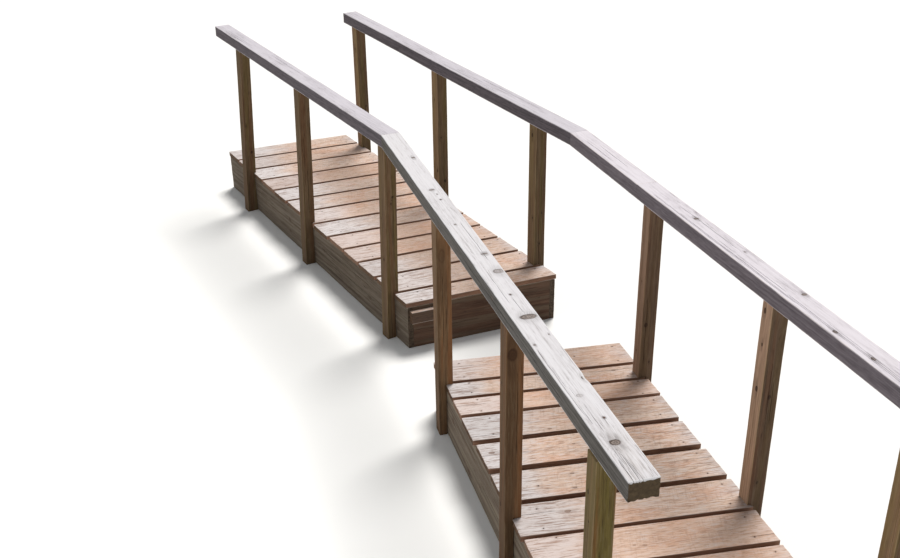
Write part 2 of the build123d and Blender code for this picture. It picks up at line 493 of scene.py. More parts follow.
def weave(n_u: int, n_c: int) -> tuple[Array, Array, Array]:
    """The faces of a swept outline and of its two ends.

    Args:
        n_u: number of stations.
        n_c: number of columns.

    Returns:
        Quads, triangles and, in that order, 1 for each face that is in an end.
    """
    grid = np.arange(n_u * n_c).reshape(n_u, n_c)
    beside = np.roll(grid, -1, axis=1)
    quads = [np.stack([grid[:-1], beside[:-1], beside[1:], grid[1:]], -1).reshape(-1, 4)]
    tris, offset = [], n_u * n_c
    for ring, flip in ((grid[0], True), (grid[-1], False)):
        for _ in END_RINGS:
            inner = np.arange(offset, offset + n_c)
            quads.append(facing([ring, np.roll(ring, -1), np.roll(inner, -1), inner], flip))
            ring, offset = inner, offset + n_c
        tris.append(facing([ring, np.roll(ring, -1), np.full(n_c, offset)], flip))
        offset += 1
    swept = len(quads[0])
    quads, tris = np.concatenate(quads), np.concatenate(tris)
    return quads, tris, (np.arange(len(quads) + len(tris)) >= swept) * 1.0


def nearest_mark(marks: Sequence[Mark], face: Array, at: Array) -> Array:
    """For each vertex, its offset from the nearest mark on its own face, in that mark's radii.

    Args:
        marks: knots or nails.
        face: face number of each vertex.
        at: along, across and up of each vertex.

    Returns:
        Offset along, offset across and a weight that falls to 0 before half way to the next mark.
    """
    out = np.tile([FAR_OFF, FAR_OFF, 0.0], (len(at), 1))
    best = np.full(len(at), np.inf)
    for mark in marks:
        level = at[:, 1] if mark.face in (Face.TOP, Face.BOTTOM) else at[:, 2]
        du, dv = at[:, 0] - mark.along, level - mark.across
        distance = np.hypot(du, dv)
        others = [math.hypot(m.along - mark.along, m.across - mark.across) for m in marks
                  if m is not mark and m.face == mark.face]
        reach = max(min([MARK_REACH * mark.radius] + [SHARED_REACH * other for other in others]), 1e-6)
        hit = (face == mark.face.value) & (distance < best)
        best = np.where(hit, distance, best)
        weight = mark.strength * np.clip(1.5 * (1 - distance / reach), 0, 1)
        found = np.stack([du / (mark.radius * mark.stretch), dv / mark.radius, weight], 1)
        out = np.where(hit[:, None], found, out)
    return out


def link(name: str, data: bpy.types.ID) -> bpy.types.Object:
    """A new object of the scene with these data."""
    made = bpy.data.objects.new(name, data)
    bpy.context.scene.collection.objects.link(made)
    return made


def assemble(name: str, parts: Sequence[Surface], look: "Look", nodes: Sequence[str]) -> None:
    """Joins surfaces into one piece with its attributes, turned outwards and riding on the root body.

    Args:
        name: the piece's name.
        parts: results of Timber.surface.
        look: the material it gets.
        nodes: the CAD nodes that it stands for.
    """
    loops, counts, base = [], [], 0
    for part in parts:
        a, b, c, d = (part["co"][part["quads"][:, k]] for k in range(4))
        volume = np.einsum("ij,ij->", np.cross(a, b), c) + np.einsum("ij,ij->", np.cross(a, c), d)
        for faces in (part["quads"], part["tris"]):
            loops.append(((faces[:, ::-1] if volume < 0 else faces) + base).ravel())
            counts.append(np.full(len(faces), faces.shape[1]))
        base += len(part["co"])
    corners, totals = np.concatenate(loops), np.concatenate(counts)
    ends, co = (np.concatenate([part[key] for part in parts]) for key in ("end", "co"))
    mesh = bpy.data.meshes.new(name)
    mesh.vertices.add(base)
    mesh.vertices.foreach_set("co", co.astype(np.float32).ravel())
    mesh.loops.add(len(corners))
    mesh.loops.foreach_set("vertex_index", corners.astype(np.int32))
    mesh.polygons.add(len(totals))
    mesh.polygons.foreach_set("loop_start", (np.cumsum(totals) - totals).astype(np.int32))
    mesh.update(calc_edges=True)
    for key in ("timber", "knot", "nail", "state", "tone"):
        values = np.concatenate([part[key] for part in parts]).astype(np.float32)
        mesh.attributes.new(key, "FLOAT_VECTOR", "POINT").data.foreach_set("vector", values.ravel())
    mesh.attributes.new("end", "FLOAT", "FACE").data.foreach_set("value", ends.astype(np.float32))
    mesh.polygons.foreach_set("use_smooth", np.ones(len(totals), bool))
    mesh.set_sharp_from_angle(angle=SHARP_ANGLE)
    sharpen_ends(mesh, np.repeat(ends, totals))
    mesh.validate(clean_customdata=False)
    mesh.materials.append(look.material())
    piece = link(name, mesh)
    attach(piece, "root")
    if nodes:
        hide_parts(*nodes)
    log.info("%s: %d faces", name, len(totals))


def sharpen_ends(mesh: bpy.types.Mesh, ends: Array) -> None:
    """Makes every edge sharp that lies between an end face and a long face.

    Args:
        mesh: the mesh, with its edges made.
        ends: for each face corner, 1 on an end face and 0 elsewhere.
    """
    edge = np.empty(len(ends), np.int32)
    mesh.loops.foreach_get("edge_index", edge)
    total, shared = (np.bincount(edge, weights, len(mesh.edges)) for weights in (ends, None))
    sharp = np.empty(len(mesh.edges), bool)
    mesh.edges.foreach_get("use_edge_sharp", sharp)
    mesh.edges.foreach_set("use_edge_sharp", sharp | ((total > 0) & (total < shared)))


class Nodes:
    """Makes the nodes of one tree, which it empties first."""

    def __init__(self, tree: bpy.types.NodeTree) -> None:
        """Keeps the tree."""
        self.tree = tree
        tree.nodes.clear()

    def make(self, kind: str, settings: Optional[dict] = None, **inputs: object) -> bpy.types.Node:
        """Adds a node, sets its settings and then fills or links its sockets.

        Args:
            kind: node type.
            settings: attributes of the node.
            inputs: socket name or in0, in1 and so on, with a value, a socket or a Number.

        Returns:
            The node.
        """
        node = self.tree.nodes.new(kind)
        for key, value in (settings or {}).items():
            setattr(node, key, value)
        for key, value in inputs.items():
            socket = node.inputs[int(key[2:]) if key[:2] == "in" and key[2:].isdigit() else key]
            value = value.socket if isinstance(value, Number) else value
            if isinstance(value, bpy.types.NodeSocket):
                self.tree.links.new(value, socket)
            else:
                socket.default_value = (*value, 1) if socket.type == "RGBA" else value
        return node

    def vector(self, attribute: str) -> tuple["Number", "Number", "Number"]:
        """The three numbers of a vector attribute."""
        read = self.make("ShaderNodeAttribute", {"attribute_name": attribute})
        split = self.make("ShaderNodeSeparateXYZ", in0=read.outputs["Vector"])
        return tuple(Number(self, split.outputs[k]) for k in range(3))

    def noise(self, at: Sequence["Number"], scale: Triple, detail: float = 2.0,
              rough: float = 0.5) -> "Number":
        """Noise from 0 to 1.

        Args:
            at: three coordinates.
            scale: how many cells to the metre, each way.
            detail: octaves.
            rough: weight of the finer octaves.

        Returns:
            The noise value.
        """
        joined = self.make("ShaderNodeCombineXYZ", **{f"in{k}": at[k] * scale[k] for k in range(3)})
        node = self.make("ShaderNodeTexNoise", Vector=joined.outputs[0], Scale=1.0, Detail=detail,
                         Roughness=rough)
        return Number(self, node.outputs["Fac"])

    def mix(self, share: "Number", first: object, second: object) -> bpy.types.NodeSocket:
        """The colour at a share of the way from the first to the second."""
        node = self.make("ShaderNodeMix", {"data_type": "RGBA"}, in0=share, in6=first, in7=second)
        return node.outputs[2]

    def layers(self, colour: object, *layers: tuple["Number", object]) -> bpy.types.NodeSocket:
        """A colour with others over it, each with the share that it covers."""
        for share, over in layers:
            colour = self.mix(share, colour, over)
        return colour


def math_node(operation: str, swapped: bool = False) -> Callable[..., "Number"]:
    """A method of Number that adds a Math node.

    Args:
        operation: what the node does.
        swapped: whether the method's own number comes second, as in 1 - mask.

    Returns:
        The method.
    """
    def method(number: "Number", *others: object) -> "Number":
        """The result of the node."""
        values = (*others, number) if swapped else (number, *others)
        node = number.nodes.make("ShaderNodeMath", {"operation": operation},
                                 **{f"in{k}": value for k, value in enumerate(values)})
        return Number(number.nodes, node.outputs[0])
    return method


@dataclass
class Number:
    """A number in a shader, on which the usual operators add Math nodes."""

    nodes: Nodes
    socket: bpy.types.NodeSocket

    __add__ = __radd__ = math_node("ADD")
    __mul__ = __rmul__ = math_node("MULTIPLY")
    __sub__, __rsub__ = math_node("SUBTRACT"), math_node("SUBTRACT", swapped=True)
    sqrt, sine, exp = math_node("SQRT"), math_node("SINE"), math_node("EXPONENT")
    most = math_node("MAXIMUM")

    def between(self, low: float, high: float) -> "Number":
        """0 below low, 1 above high, and a smooth rise between them."""
        node = self.nodes.make("ShaderNodeMapRange", {"interpolation_type": "SMOOTHSTEP"},
                               in0=self, in1=low, in2=high)
        return Number(self.nodes, node.outputs[0])


def rgb(red: int, green: int, blue: int) -> Colour:
    """Scene-linear colour, by the sRGB curve, of a display colour given as 0 to 255."""
    return tuple(v / 12.92 if v <= 0.04045 else ((v + 0.055) / 1.055) ** 2.4
                 for v in (red / 255, green / 255, blue / 255))


@dataclass(frozen=True)
class Look:
    """A material that is made when a piece first needs it."""

    name: str

    def material(self) -> bpy.types.Material:
        """The material of this name, with one Principled shader."""
        found = bpy.data.materials.get(self.name)
        if found:
            return found
        material = bpy.data.materials.new(self.name)
        material.use_nodes = True
        n = Nodes(material.node_tree)
        shader = n.make("ShaderNodeBsdfPrincipled", **self.sockets(n))
        n.make("ShaderNodeOutputMaterial", Surface=shader.outputs[0])
        return material

    def sockets(self, n: Nodes) -> dict[str, object]:
        """What the shader's sockets get."""
        raise NotImplementedError


class Grain:
    """The patterns of a timber, as numbers by which a finish mixes its colours."""

    def __init__(self, n: Nodes, look: "Finish") -> None:
        """Reads the timber's attributes and makes what more than one layer uses.

        Args:
            n: makes the nodes.
            look: the finish.
        """
        self.n = n
        x, y, z = self.at = n.vector("timber")
        self.knot_u, self.knot_v, self.knot_w = n.vector("knot")
        self.nail_u, self.nail_v, self.nail_w = n.vector("nail")
        # State: arris mask (wear with a painted highlight), depth down a crack (painted shade), sideways
        # facing.
        self.wear, self.cavity, self.side = n.vector("state")
        bleach, self.bright, self.warm = n.vector("tone")
        self.end = Number(n, n.make("ShaderNodeAttribute", {"attribute_name": "end"}).outputs["Fac"])

        knot_r = (self.knot_u * self.knot_u + self.knot_v * self.knot_v).sqrt()
        near_knot = (knot_r * knot_r * -0.14).exp() * self.knot_w
        warp = self.noise((0.9, 7, 7), 3.0) - 0.5
        radius = (y * y + z * z).sqrt() + warp * look.sway + near_knot * 0.018
        patchy = self.noise((1.4, 22, 22), 3.0).between(0.3, 0.7)
        self.late = (radius * (2 * math.pi / look.ring_pitch)).sine().between(0.1, 1.0) * patchy
        bent = (x, y + near_knot * 0.012, z)
        self.streak = n.noise(bent, (1.3, look.streaks, look.streaks), 5.0, 0.68)
        self.fibre = n.noise(bent, (11, 430, 430), 3.0, 0.6)
        self.blotch = self.noise((2.6, 10, 10), 5.0, 0.62)
        level = n.noise(bent, (0.7, 38, 38), 3.0) * 50.0
        self.checks = level.sine().between(0.9, 1.0) * self.noise((2.2, 18, 18)).between(0.46, 0.56)
        self.mottle = self.noise(look.mottle_scale, 4.0, 0.7)
        speck = self.noise((70, 260, 260), 2.0, 0.6)
        self.grey = (bleach + (self.blotch - 0.5) * 1.2 + (self.streak - 0.5) * 0.9).between(0.2, 0.9)
        self.knot_r = (knot_r + (speck - 0.5) * 0.3 + (self.mottle - 0.5) * 0.5
                       + (self.blotch - 0.5) * 0.9)
        self.core = 1 - self.knot_r.between(0.8, 1.2)

    def noise(self, scale: Triple, detail: float = 2.0, rough: float = 0.5) -> Number:
        """Noise at the timber's own coordinates."""
        return self.n.noise(self.at, scale, detail, rough)

    def saw_marks(self) -> Number:
        """Cuts across the timber, in patches, where it is neither a side nor silvery."""
        x, y, z = self.at
        cut = self.n.noise((x * 0.98 - y * 0.21, y, z), (105, 11, 11), 2.0, 0.6).between(0.5, 0.66)
        return cut * self.noise((4, 14, 14), 3.0).between(0.42, 0.58) * (1 - self.side) * (1 - self.grey)


@dataclass(frozen=True)
class Finish(Look):
    """Weathered timber: earlywood and latewood, grey bleaching, dirt, knots and nail stains.

    Flank is the colour of upright faces, the arris colour wear with a painted highlight, and the crack
    colour painted shade in cracks. Sway is how far the growth rings wander, streaks the grain lines to
    the metre, calm how far silvery wood loses its dark marks, and veil how grey it gets. Saw, contrast,
    blotch, mottle, checks, strokes, stripe and the shares are strengths from 0 to 1.
    """

    light: Colour
    mid: Colour
    dark: Colour
    bleached: Colour
    flank: Colour
    flank_dark: Colour
    patch: Colour
    worn_and_highlight: Colour
    end_light: Colour
    end_dark: Colour
    crack: Colour = rgb(34, 24, 17)
    knot: Colour = rgb(74, 56, 44)
    knot_light: Colour = rgb(120, 100, 84)
    rust: Colour = rgb(50, 34, 26)
    stripe_colour: Colour = rgb(100, 88, 50)
    flank_share: float = 0.8
    worn_and_highlight_share: float = 0.55
    ring: float = 0.3
    ring_pitch: float = 0.006
    sway: float = 0.012
    saw: float = 0.0
    contrast: float = 0.5
    streaks: float = 95.0
    blotch: float = 0.3
    mottle: float = 0.2
    mottle_scale: Triple = (9, 110, 110)
    checks: float = 0.4
    calm: float = 0.4
    veil: float = 0.9
    strokes: float = 0.0
    stripe: float = 0.0

    def sawn(self, g: Grain) -> bpy.types.NodeSocket:
        """Colour of the fresh wood: streaks, growth rings, warm patches and stripes."""
        spread = 0.30 - 0.2 * self.contrast
        streaks = (g.streak * 0.72 + g.fibre * 0.28).between(0.5 - spread, 0.5 + spread)
        colour = g.n.layers(g.n.mix(streaks, self.mid, self.light),
                            (g.late * self.ring, self.dark),
                            ((1 - g.streak.between(0.28, 0.42)) * 0.75 * self.contrast, self.dark),
                            (g.blotch.between(0.46, 0.62) * self.blotch, self.patch))
        if not self.stripe:
            return colour
        x, y, z = g.at
        band = g.n.noise((x + 5.0, y, z), (0.8, 26, 26), 2.0, 0.4)
        return g.n.layers(colour, (band.between(0.47, 0.6) * self.stripe, self.stripe_colour),
                          ((1 - band.between(0.36, 0.46)) * self.stripe, self.patch))

    def weathered(self, g: Grain, colour: bpy.types.NodeSocket) -> bpy.types.NodeSocket:
        """Greys a colour, then adds dark strokes, mottle and checks."""
        x, y, z = g.at
        colour = g.n.mix(g.grey * self.veil, colour, self.bleached)
        if self.strokes:
            stroke = g.n.noise((x, y + 3.0, z), (6, 80, 80), 3.0, 0.6).between(0.52, 0.64)
            colour = g.n.mix((g.grey * 0.8 + 0.2) * stroke * self.strokes, colour, self.dark)
        calm = 1 - g.grey * self.calm
        return g.n.layers(colour, ((1 - g.mottle.between(0.36, 0.5)) * self.mottle, self.bleached),
                          (g.mottle.between(0.52, 0.64) * calm * self.mottle, self.dark),
                          (g.checks * calm * self.checks, self.dark))

    def knotted(self, g: Grain, colour: bpy.types.NodeSocket) -> bpy.types.NodeSocket:
        """Draws the knots over a colour: a drawn-out halo, a ringed core and a dark rim on one side."""
        rim = (g.knot_r.between(0.6, 0.88) * (1 - g.knot_r.between(0.96, 1.3))
               * (g.knot_u * 0.5 - g.knot_v * 0.6).between(-1.3, 0.6))
        rings = (g.knot_r * 12.0).sine().between(-0.6, 0.7) * 0.65 + g.fibre.between(0.35, 0.65) * 0.35
        drawn = (g.knot_u * g.knot_u * 0.12 + g.knot_v * g.knot_v).sqrt()
        halo = (1 - drawn.between(0.9, 1.9)) * g.streak.between(0.35, 0.6)
        return g.n.layers(colour, (halo * g.knot_w * 0.45, self.knot),
                          (g.core * g.knot_w * 0.85, g.n.mix(rings, self.knot, self.knot_light)),
                          (rim * g.knot_w * 0.9, self.knot))

    def sockets(self, n: Nodes) -> dict[str, object]:
        """What the shader's sockets get: relief, wood colours, stains, painted arris highlight, painted crack
        shade.
        """
        g = Grain(n, self)
        x, y, z = g.at
        flank = n.mix((g.streak * 0.5 + g.mottle * 0.5).between(0.36, 0.64), self.flank_dark, self.flank)
        colour = n.mix(g.side * self.flank_share * (1 - g.wear * 0.7),
                       self.weathered(g, self.sawn(g)), flank)
        height = (g.fibre * 0.4 + g.streak * 0.5 - g.late * 0.3 * (1 - g.end) - g.mottle * 0.35
                  - g.core * g.knot_w * 0.3)
        if self.saw:
            mark = g.saw_marks() * self.saw
            colour, height = n.mix(mark, colour, self.dark), height - mark * 0.5
        pale = n.noise((x * 0 + 3, y, z), (1, 60, 60), 3.0, 0.6).between(0.3, 0.7)
        ends = n.layers(n.mix(pale, self.end_dark, self.end_light), (g.late * 0.3, self.end_dark))
        nail_r = (g.nail_u * g.nail_u * 0.5 + g.nail_v * g.nail_v).sqrt()
        stain = 1 - (nail_r + (g.blotch - 0.5) * 2).between(1.0, 2.8)
        # Rust stains, the arris colour (wear with a painted highlight), painted shade in cracks, warm
        # patches.
        colour = n.layers(self.knotted(g, n.mix(g.end, colour, ends)), (stain * g.nail_w * 0.6, self.rust),
                          (g.wear.between(0.3, 0.9) * (1 - g.end) * self.worn_and_highlight_share, self.worn_and_highlight),
                          (g.cavity.between(0.12, 0.8) * 0.85, self.crack),
                          ((g.warm - 0.5).most(0.0) * 0.5, self.patch))
        # The tone's brightness scales the colour, and with it the painted light and shade of faces and post
        # feet.
        lit = n.make("ShaderNodeVectorMath", {"operation": "SCALE"}, in0=colour, Scale=g.bright + 0.5)
        bump = n.make("ShaderNodeBump", Strength=0.6, Distance=0.0014, Height=height)
        return {"Base Color": lit.outputs[0], "Normal": bump.outputs[0], "IOR": 1.42,
                "Roughness": 0.9 - g.wear * 0.1 - g.grey * 0.06 - (g.fibre - 0.5) * 0.1,
                "Specular IOR Level": 0.25}


@dataclass(frozen=True)
class Metal(Look):
    """Dull steel with rusty patches."""

    def sockets(self, n: Nodes) -> dict[str, object]:
        """What the shader's sockets get."""
        at = n.make("ShaderNodeTexCoord").outputs["Object"]
        grain = n.make("ShaderNodeTexNoise", Vector=at, Scale=900.0, Detail=3.0)
        rust = Number(n, grain.outputs["Fac"]).between(0.4, 0.65)
        return {"Base Color": n.mix(rust, rgb(46, 40, 38), rgb(104, 66, 44)), "Metallic": 1 - rust,
                "Roughness": 0.5 + rust * 0.35}


@dataclass(frozen=True)
class Plain(Look):
    """One colour, nearly matt."""

    colour: Colour

    def sockets(self, n: Nodes) -> dict[str, object]:
        """What the shader's sockets get."""
        return {"Base Color": self.colour, "Roughness": 0.9}


DECK = Finish(
    "deck_timber", light=rgb(204, 183, 168), mid=rgb(177, 149, 131), dark=rgb(114, 89, 76),
    bleached=rgb(190, 187, 188), patch=rgb(186, 147, 123), worn_and_highlight=rgb(204, 188, 176),
    flank=rgb(164, 124, 100), flank_dark=rgb(118, 84, 64), knot=rgb(86, 66, 54), knot_light=rgb(132, 106, 90),
    crack=rgb(58, 42, 34), end_light=rgb(106, 82, 64), end_dark=rgb(70, 52, 38), flank_share=0.95, ring=0.18,
    saw=0.22, contrast=0.55, blotch=0.7, mottle=0.62, mottle_scale=(17, 150, 150), checks=0.45, calm=0.0,
    veil=0.86, strokes=0.75)
CLEAT = replace(DECK, name="cleat_timber", flank=rgb(108, 86, 70), flank_dark=rgb(72, 56, 46))
# Rail finish: its dark flank colours, here and in the copies below, are weathered sides darkened further by
# painted shade.
RAIL = Finish(
    "rail_timber", light=rgb(207, 205, 208), mid=rgb(178, 174, 176), dark=rgb(118, 111, 108),
    bleached=rgb(204, 202, 205), patch=rgb(184, 176, 170), worn_and_highlight=rgb(213, 212, 214),
    flank=rgb(98, 94, 89), flank_dark=rgb(64, 60, 56), knot=rgb(64, 53, 47), knot_light=rgb(136, 122, 113),
    crack=rgb(78, 70, 65), end_light=rgb(92, 77, 58), end_dark=rgb(74, 61, 46), flank_share=0.97,
    worn_and_highlight_share=0.7, ring=0.25, ring_pitch=0.0055, contrast=0.68, mottle=0.4, mottle_scale=(13, 130, 130),
    checks=0.9, calm=0.8)
RAIL_LILAC = replace(
    RAIL, name="rail_timber_lilac", light=rgb(204, 199, 205), mid=rgb(172, 166, 172),
    dark=rgb(108, 100, 102), bleached=rgb(206, 201, 207), patch=rgb(176, 167, 166), worn_and_highlight=rgb(216, 206, 206),
    flank=rgb(124, 116, 122), flank_dark=rgb(88, 81, 86))
# Painted shade: a darker copy of the lilac rail finish, on tops and sides, for the far rails.
RAIL_SHADED = replace(
    RAIL_LILAC, name="rail_timber_shaded", light=rgb(190, 186, 192), mid=rgb(160, 155, 161),
    bleached=rgb(192, 188, 195), worn_and_highlight=rgb(200, 194, 197), flank=rgb(100, 92, 97),
    flank_dark=rgb(66, 60, 64))
# Post finish: its pale end-grain colours are painted light on post tops that lie in the rails' shade.
POST = Finish(
    "post_timber", light=rgb(128, 106, 80), mid=rgb(98, 80, 59), dark=rgb(50, 38, 30),
    bleached=rgb(140, 124, 100), patch=rgb(108, 75, 50), worn_and_highlight=rgb(160, 136, 106),
    flank=rgb(136, 110, 86), flank_dark=rgb(94, 74, 57), knot=rgb(30, 20, 15), knot_light=rgb(54, 38, 28),
    crack=rgb(26, 19, 14), end_light=rgb(176, 152, 112), end_dark=rgb(150, 128, 92), flank_share=0.3,
    worn_and_highlight_share=0.4, ring=0.4, ring_pitch=0.0075, contrast=0.85, streaks=70.0, mottle=0.25, checks=0.5,
    stripe=0.6, stripe_colour=rgb(106, 90, 50))
POST_OLIVE = replace(
    POST, name="post_timber_olive", light=rgb(130, 112, 66), mid=rgb(100, 85, 50), dark=rgb(60, 48, 32),
    patch=rgb(122, 84, 46), stripe_colour=rgb(108, 96, 48))
POST_BROWN = replace(
    POST, name="post_timber_brown", light=rgb(128, 102, 74), mid=rgb(97, 76, 55), dark=rgb(46, 36, 28),
    patch=rgb(126, 86, 55), stripe=0.8, stripe_colour=rgb(78, 63, 46))
# Painted light: a pale flank over most of the side faces stands in for deck light bounced onto right posts.
POST_UMBER_LIT_SIDES = replace(
    POST, name="post_timber_umber_lit_sides", light=rgb(126, 104, 84), mid=rgb(96, 78, 62), patch=rgb(112, 78, 58),
    stripe_colour=rgb(104, 85, 60), flank=rgb(154, 127, 108), flank_dark=rgb(112, 90, 75), flank_share=0.6)
FRAME = Finish(
    "frame_timber", light=rgb(148, 134, 117), mid=rgb(96, 82, 69), dark=rgb(42, 34, 28),
    bleached=rgb(160, 149, 134), patch=rgb(86, 70, 54), worn_and_highlight=rgb(170, 154, 132),
    flank=rgb(134, 118, 102), flank_dark=rgb(72, 59, 49), end_light=rgb(112, 96, 80),
    end_dark=rgb(70, 57, 46), flank_share=0.4, ring=0.45, ring_pitch=0.009, sway=0.03, contrast=0.95,
    streaks=50.0, blotch=0.6, mottle=0.4, checks=0.9, stripe=0.5, stripe_colour=rgb(124, 116, 98))
FASCIA = replace(
    FRAME, name="fascia_timber", light=rgb(124, 96, 78), mid=rgb(92, 68, 54), dark=rgb(50, 37, 29),
    bleached=rgb(136, 118, 104), patch=rgb(78, 54, 40), flank=rgb(110, 82, 66), flank_dark=rgb(72, 51, 40))
NAIL = Metal("nail_steel")
FLOOR = Plain("floor", (0.78, 0.78, 0.77))


BOARD_STEPS = {"near": (0.014, 0.011), "far": (0.018, 0.016)}
WARM_BOARDS = (3, 4, 9)
# Painted shade: the far frame's brightness is set far below the near frame's.
FRAME_TONES_FAR_SHADED = {"near": (0.35, 0.48, 0.4), "far": (0.35, 0.22, 0.4)}
CROSS_TONE = (0.15, 0.32, 0.5)
STRINGER_SEEDS = {"near_left": 3, "near_right": 5, "far_left": 8, "far_right": 12}
BOARD = 0.038
STRINGER_DEPTH = 0.314
ROOM = 0.0015
CLEAT_ENDS, CLEAT_LEVELS = (0.020, 0.220), (-0.149, -0.060)
NAIL_INSETS, NAIL_SHARES = (0.112, 0.105), (0.16, 0.84)
NAIL_JITTER, NAIL_APART, NAIL_RADIUS = 0.012, 0.1, 0.0035
NOTCH_TO_CRACK, CRACK_TO_CRACK = 0.02, 0.12
SHOWN_NAILS = {4: (0.117, 0.225), 5: (0.104, 0.191), 6: (0.190, 0.096), 8: (0.114, 0.041),
               9: (0.120, 0.019), 11: (0.821, 0.135)}
SHOWN_KNOTS = {6: ((0.381, 0.166, 0.006), (0.374, 0.047, 0.006)),
               7: ((0.036, 0.141, 0.009), (0.510, 0.013, 0.005), (0.489, 0.137, 0.005)),
               8: ((0.430, 0.031, 0.006),), 9: ((0.987, 0.135, 0.004),)}


@dataclass
class Section:
    """A straight deck section: its corner in the row frame, its turn and what it is built from.

    Turn and skew are in degrees. Posts are where the posts' front faces are along it, laps how much of
    each stands on the deck, and leans how far each leans to the right for each unit of height.
    """

    key: str
    corner: Vector
    turn: float
    width: float
    skew: float
    boards: Sequence[float]
    gaps: Sequence[float]
    posts: dict[str, Triple]
    laps: dict[str, Triple]
    leans: dict[str, Triple]
    deck: float
    inset: float = 0.006
    post: float = 0.089

    def point(self, across: Array, along: Array, up: Array) -> Array:
        """Points of the section in the row frame: turned about its corner and raised to the deck."""
        a = math.radians(self.turn)
        x = self.corner.x + across * math.cos(a) - along * math.sin(a)
        y = self.corner.y + across * math.sin(a) + along * math.cos(a)
        return np.stack([x, y, up + self.deck], -1)

    def skewed(self, start: float, along: Array, across: Array) -> tuple[Array, Array]:
        """Plan coordinates of a timber that runs along a board line from a start on the left edge."""
        a = math.radians(self.skew)
        return (along * math.cos(a) + across * math.sin(a),
                start - along * math.sin(a) + across * math.cos(a))

    @property
    def far(self) -> bool:
        """Whether it is the far section."""
        return self.key == "far"

    @property
    def stretch(self) -> float:
        """Width along the section of a board of unit width."""
        return 1 / math.cos(math.radians(self.skew))

    @property
    def length(self) -> float:
        """Length of the deck along its left edge."""
        return (sum(self.boards) + sum(self.gaps)) * self.stretch

    def board_start(self, k: int) -> float:
        """Where a board's near edge meets the left edge of the deck."""
        here = 0.0
        for wide, gap in zip(self.boards[:k], self.gaps):
            here += (wide + gap) * self.stretch
        return here

    def notches(self, side: str) -> list[tuple[float, float]]:
        """Where the post legs on one side run along the section, with a little room."""
        return [(y0 - ROOM, y0 + self.post + ROOM) for y0 in self.posts[side]]

    def board_end(self, k: int, side: str) -> Plane:
        """The along coordinate where a board ends on one side, shorter beside a post's leg.

        Args:
            k: number of the board.
            side: left or right.

        Returns:
            The end's plane, as Timber takes it.
        """
        a, start = math.radians(self.skew), self.board_start(k)
        if side == "left":
            end, limit = 0.004 * math.sin(2.1 * k), self.inset + ROOM
        else:
            end, limit = self.width + 0.004 * math.sin(1.3 * k + 1), self.width - self.inset - ROOM

        def plane(across: Array, up: Array) -> Array:
            """Along coordinate at each point of the end."""
            edge = np.full_like(across, end) + 0.0012 * wander(across, 0.03, 70 + k)
            y = self.skewed(start, (edge - across * math.sin(a)) / math.cos(a), across)[1]
            for low, high in self.notches(side):
                edge = np.where((y > low) & (y < high), limit, edge)
            return (edge - across * math.sin(a)) / math.cos(a)
        return plane

    def notch_lines(self, k: int) -> list[float]:
        """Pairs of shares across a board between which the side of a post's leg falls."""
        a, start, wide = math.radians(self.skew), self.board_start(k), self.boards[k]
        lines = []
        for side, at_x in (("left", 0.0), ("right", self.width)):
            for level in sum(self.notches(side), ()):
                v = (level - start + at_x * math.tan(a)) * math.cos(a)
                if 0.004 < v < wide - 0.004:
                    lines += [(v - 0.0006) / wide, (v + 0.0006) / wide]
        return sorted(set(lines))

    def board(self, k: int, knots: Sequence[Triple],
              nails: Sequence[tuple[float, float]]) -> tuple[Timber, Place]:
        """One deck board, cut along the deck's edges and round the post legs.

        Args:
            k: number of the board from the near end.
            knots: knots as x, y from the board line and radius.
            nails: nail heads as x and y from the board line.

        Returns:
            The timber and the function that places it.
        """
        rng = np.random.default_rng(900 + 37 * k + (500 if self.far else 0))
        a, wide, extra = math.radians(self.skew), self.boards[k], self.notch_lines(k)
        cracks = []
        for _ in range(rng.integers(1, 4)):
            share = rng.uniform(0.12, 0.88)
            if not all([abs(share - e) * wide > NOTCH_TO_CRACK for e in extra]
                       + [abs(share - c.across) > CRACK_TO_CRACK for c in cracks]):
                continue
            if rng.uniform() < 0.6:
                start, stop = -0.1, rng.uniform(0.08, 0.3)
            else:
                start, stop = self.width - rng.uniform(0.08, 0.3), self.width + 0.2
            cracks.append(Crack(Face.TOP, share, start, stop, width=0.0016, depth=0.007))

        def own(x: float, y: float) -> tuple[float, float]:
            """A board's own coordinates of a spot given by x and by y from its near edge there."""
            return x / math.cos(a) + y * math.sin(a), y * math.cos(a)

        pith = (rng.uniform(-0.02, wide + 0.02), rng.choice([-1, 1]) * rng.uniform(0.05, 0.16))
        tilt = (rng.uniform(-0.03, 0.03), rng.uniform(-0.05, 0.05))
        bright = rng.uniform(0.42, 0.58) + (0.06 if self.far else 0.0)
        warm = 1.0 if k in WARM_BOARDS else rng.uniform(0.3, 0.8)
        step, spacing = BOARD_STEPS[self.key]
        timber = Timber(
            f"{self.key}_board_{k + 1:02d}_timber", self.width / math.cos(a), left=0.0, right=wide,
            bottom=-BOARD, top=0.0, seed=100 + 13 * k + (700 if self.far else 0), pith=pith, tilt=tilt,
            tone=(0.0, bright, warm), ease=0.0022, wear=0.003, wave=0.001, cup=0.0012,
            crumble=(0.0025, 0.0025), step=step, spacing=spacing, cracks=cracks, extra=extra,
            knots=[Mark(Face.TOP, *own(x, y), r, stretch=1.8, strength=0.75) for x, y, r in knots],
            nails=[Mark(Face.TOP, *own(x, y), NAIL_RADIUS, strength=0.55) for x, y in nails],
            start_plane=self.board_end(k, "left"), stop_plane=self.board_end(k, "right"),
            # Painted shade on the near face of the first far board.
            painted_face_light=(0.0, 0.0, 0.0, -0.3 if self.far and k == 0 else 0.0))
        start = self.board_start(k)
        return timber, lambda along, across, up: self.point(*self.skewed(start, along, across), up)


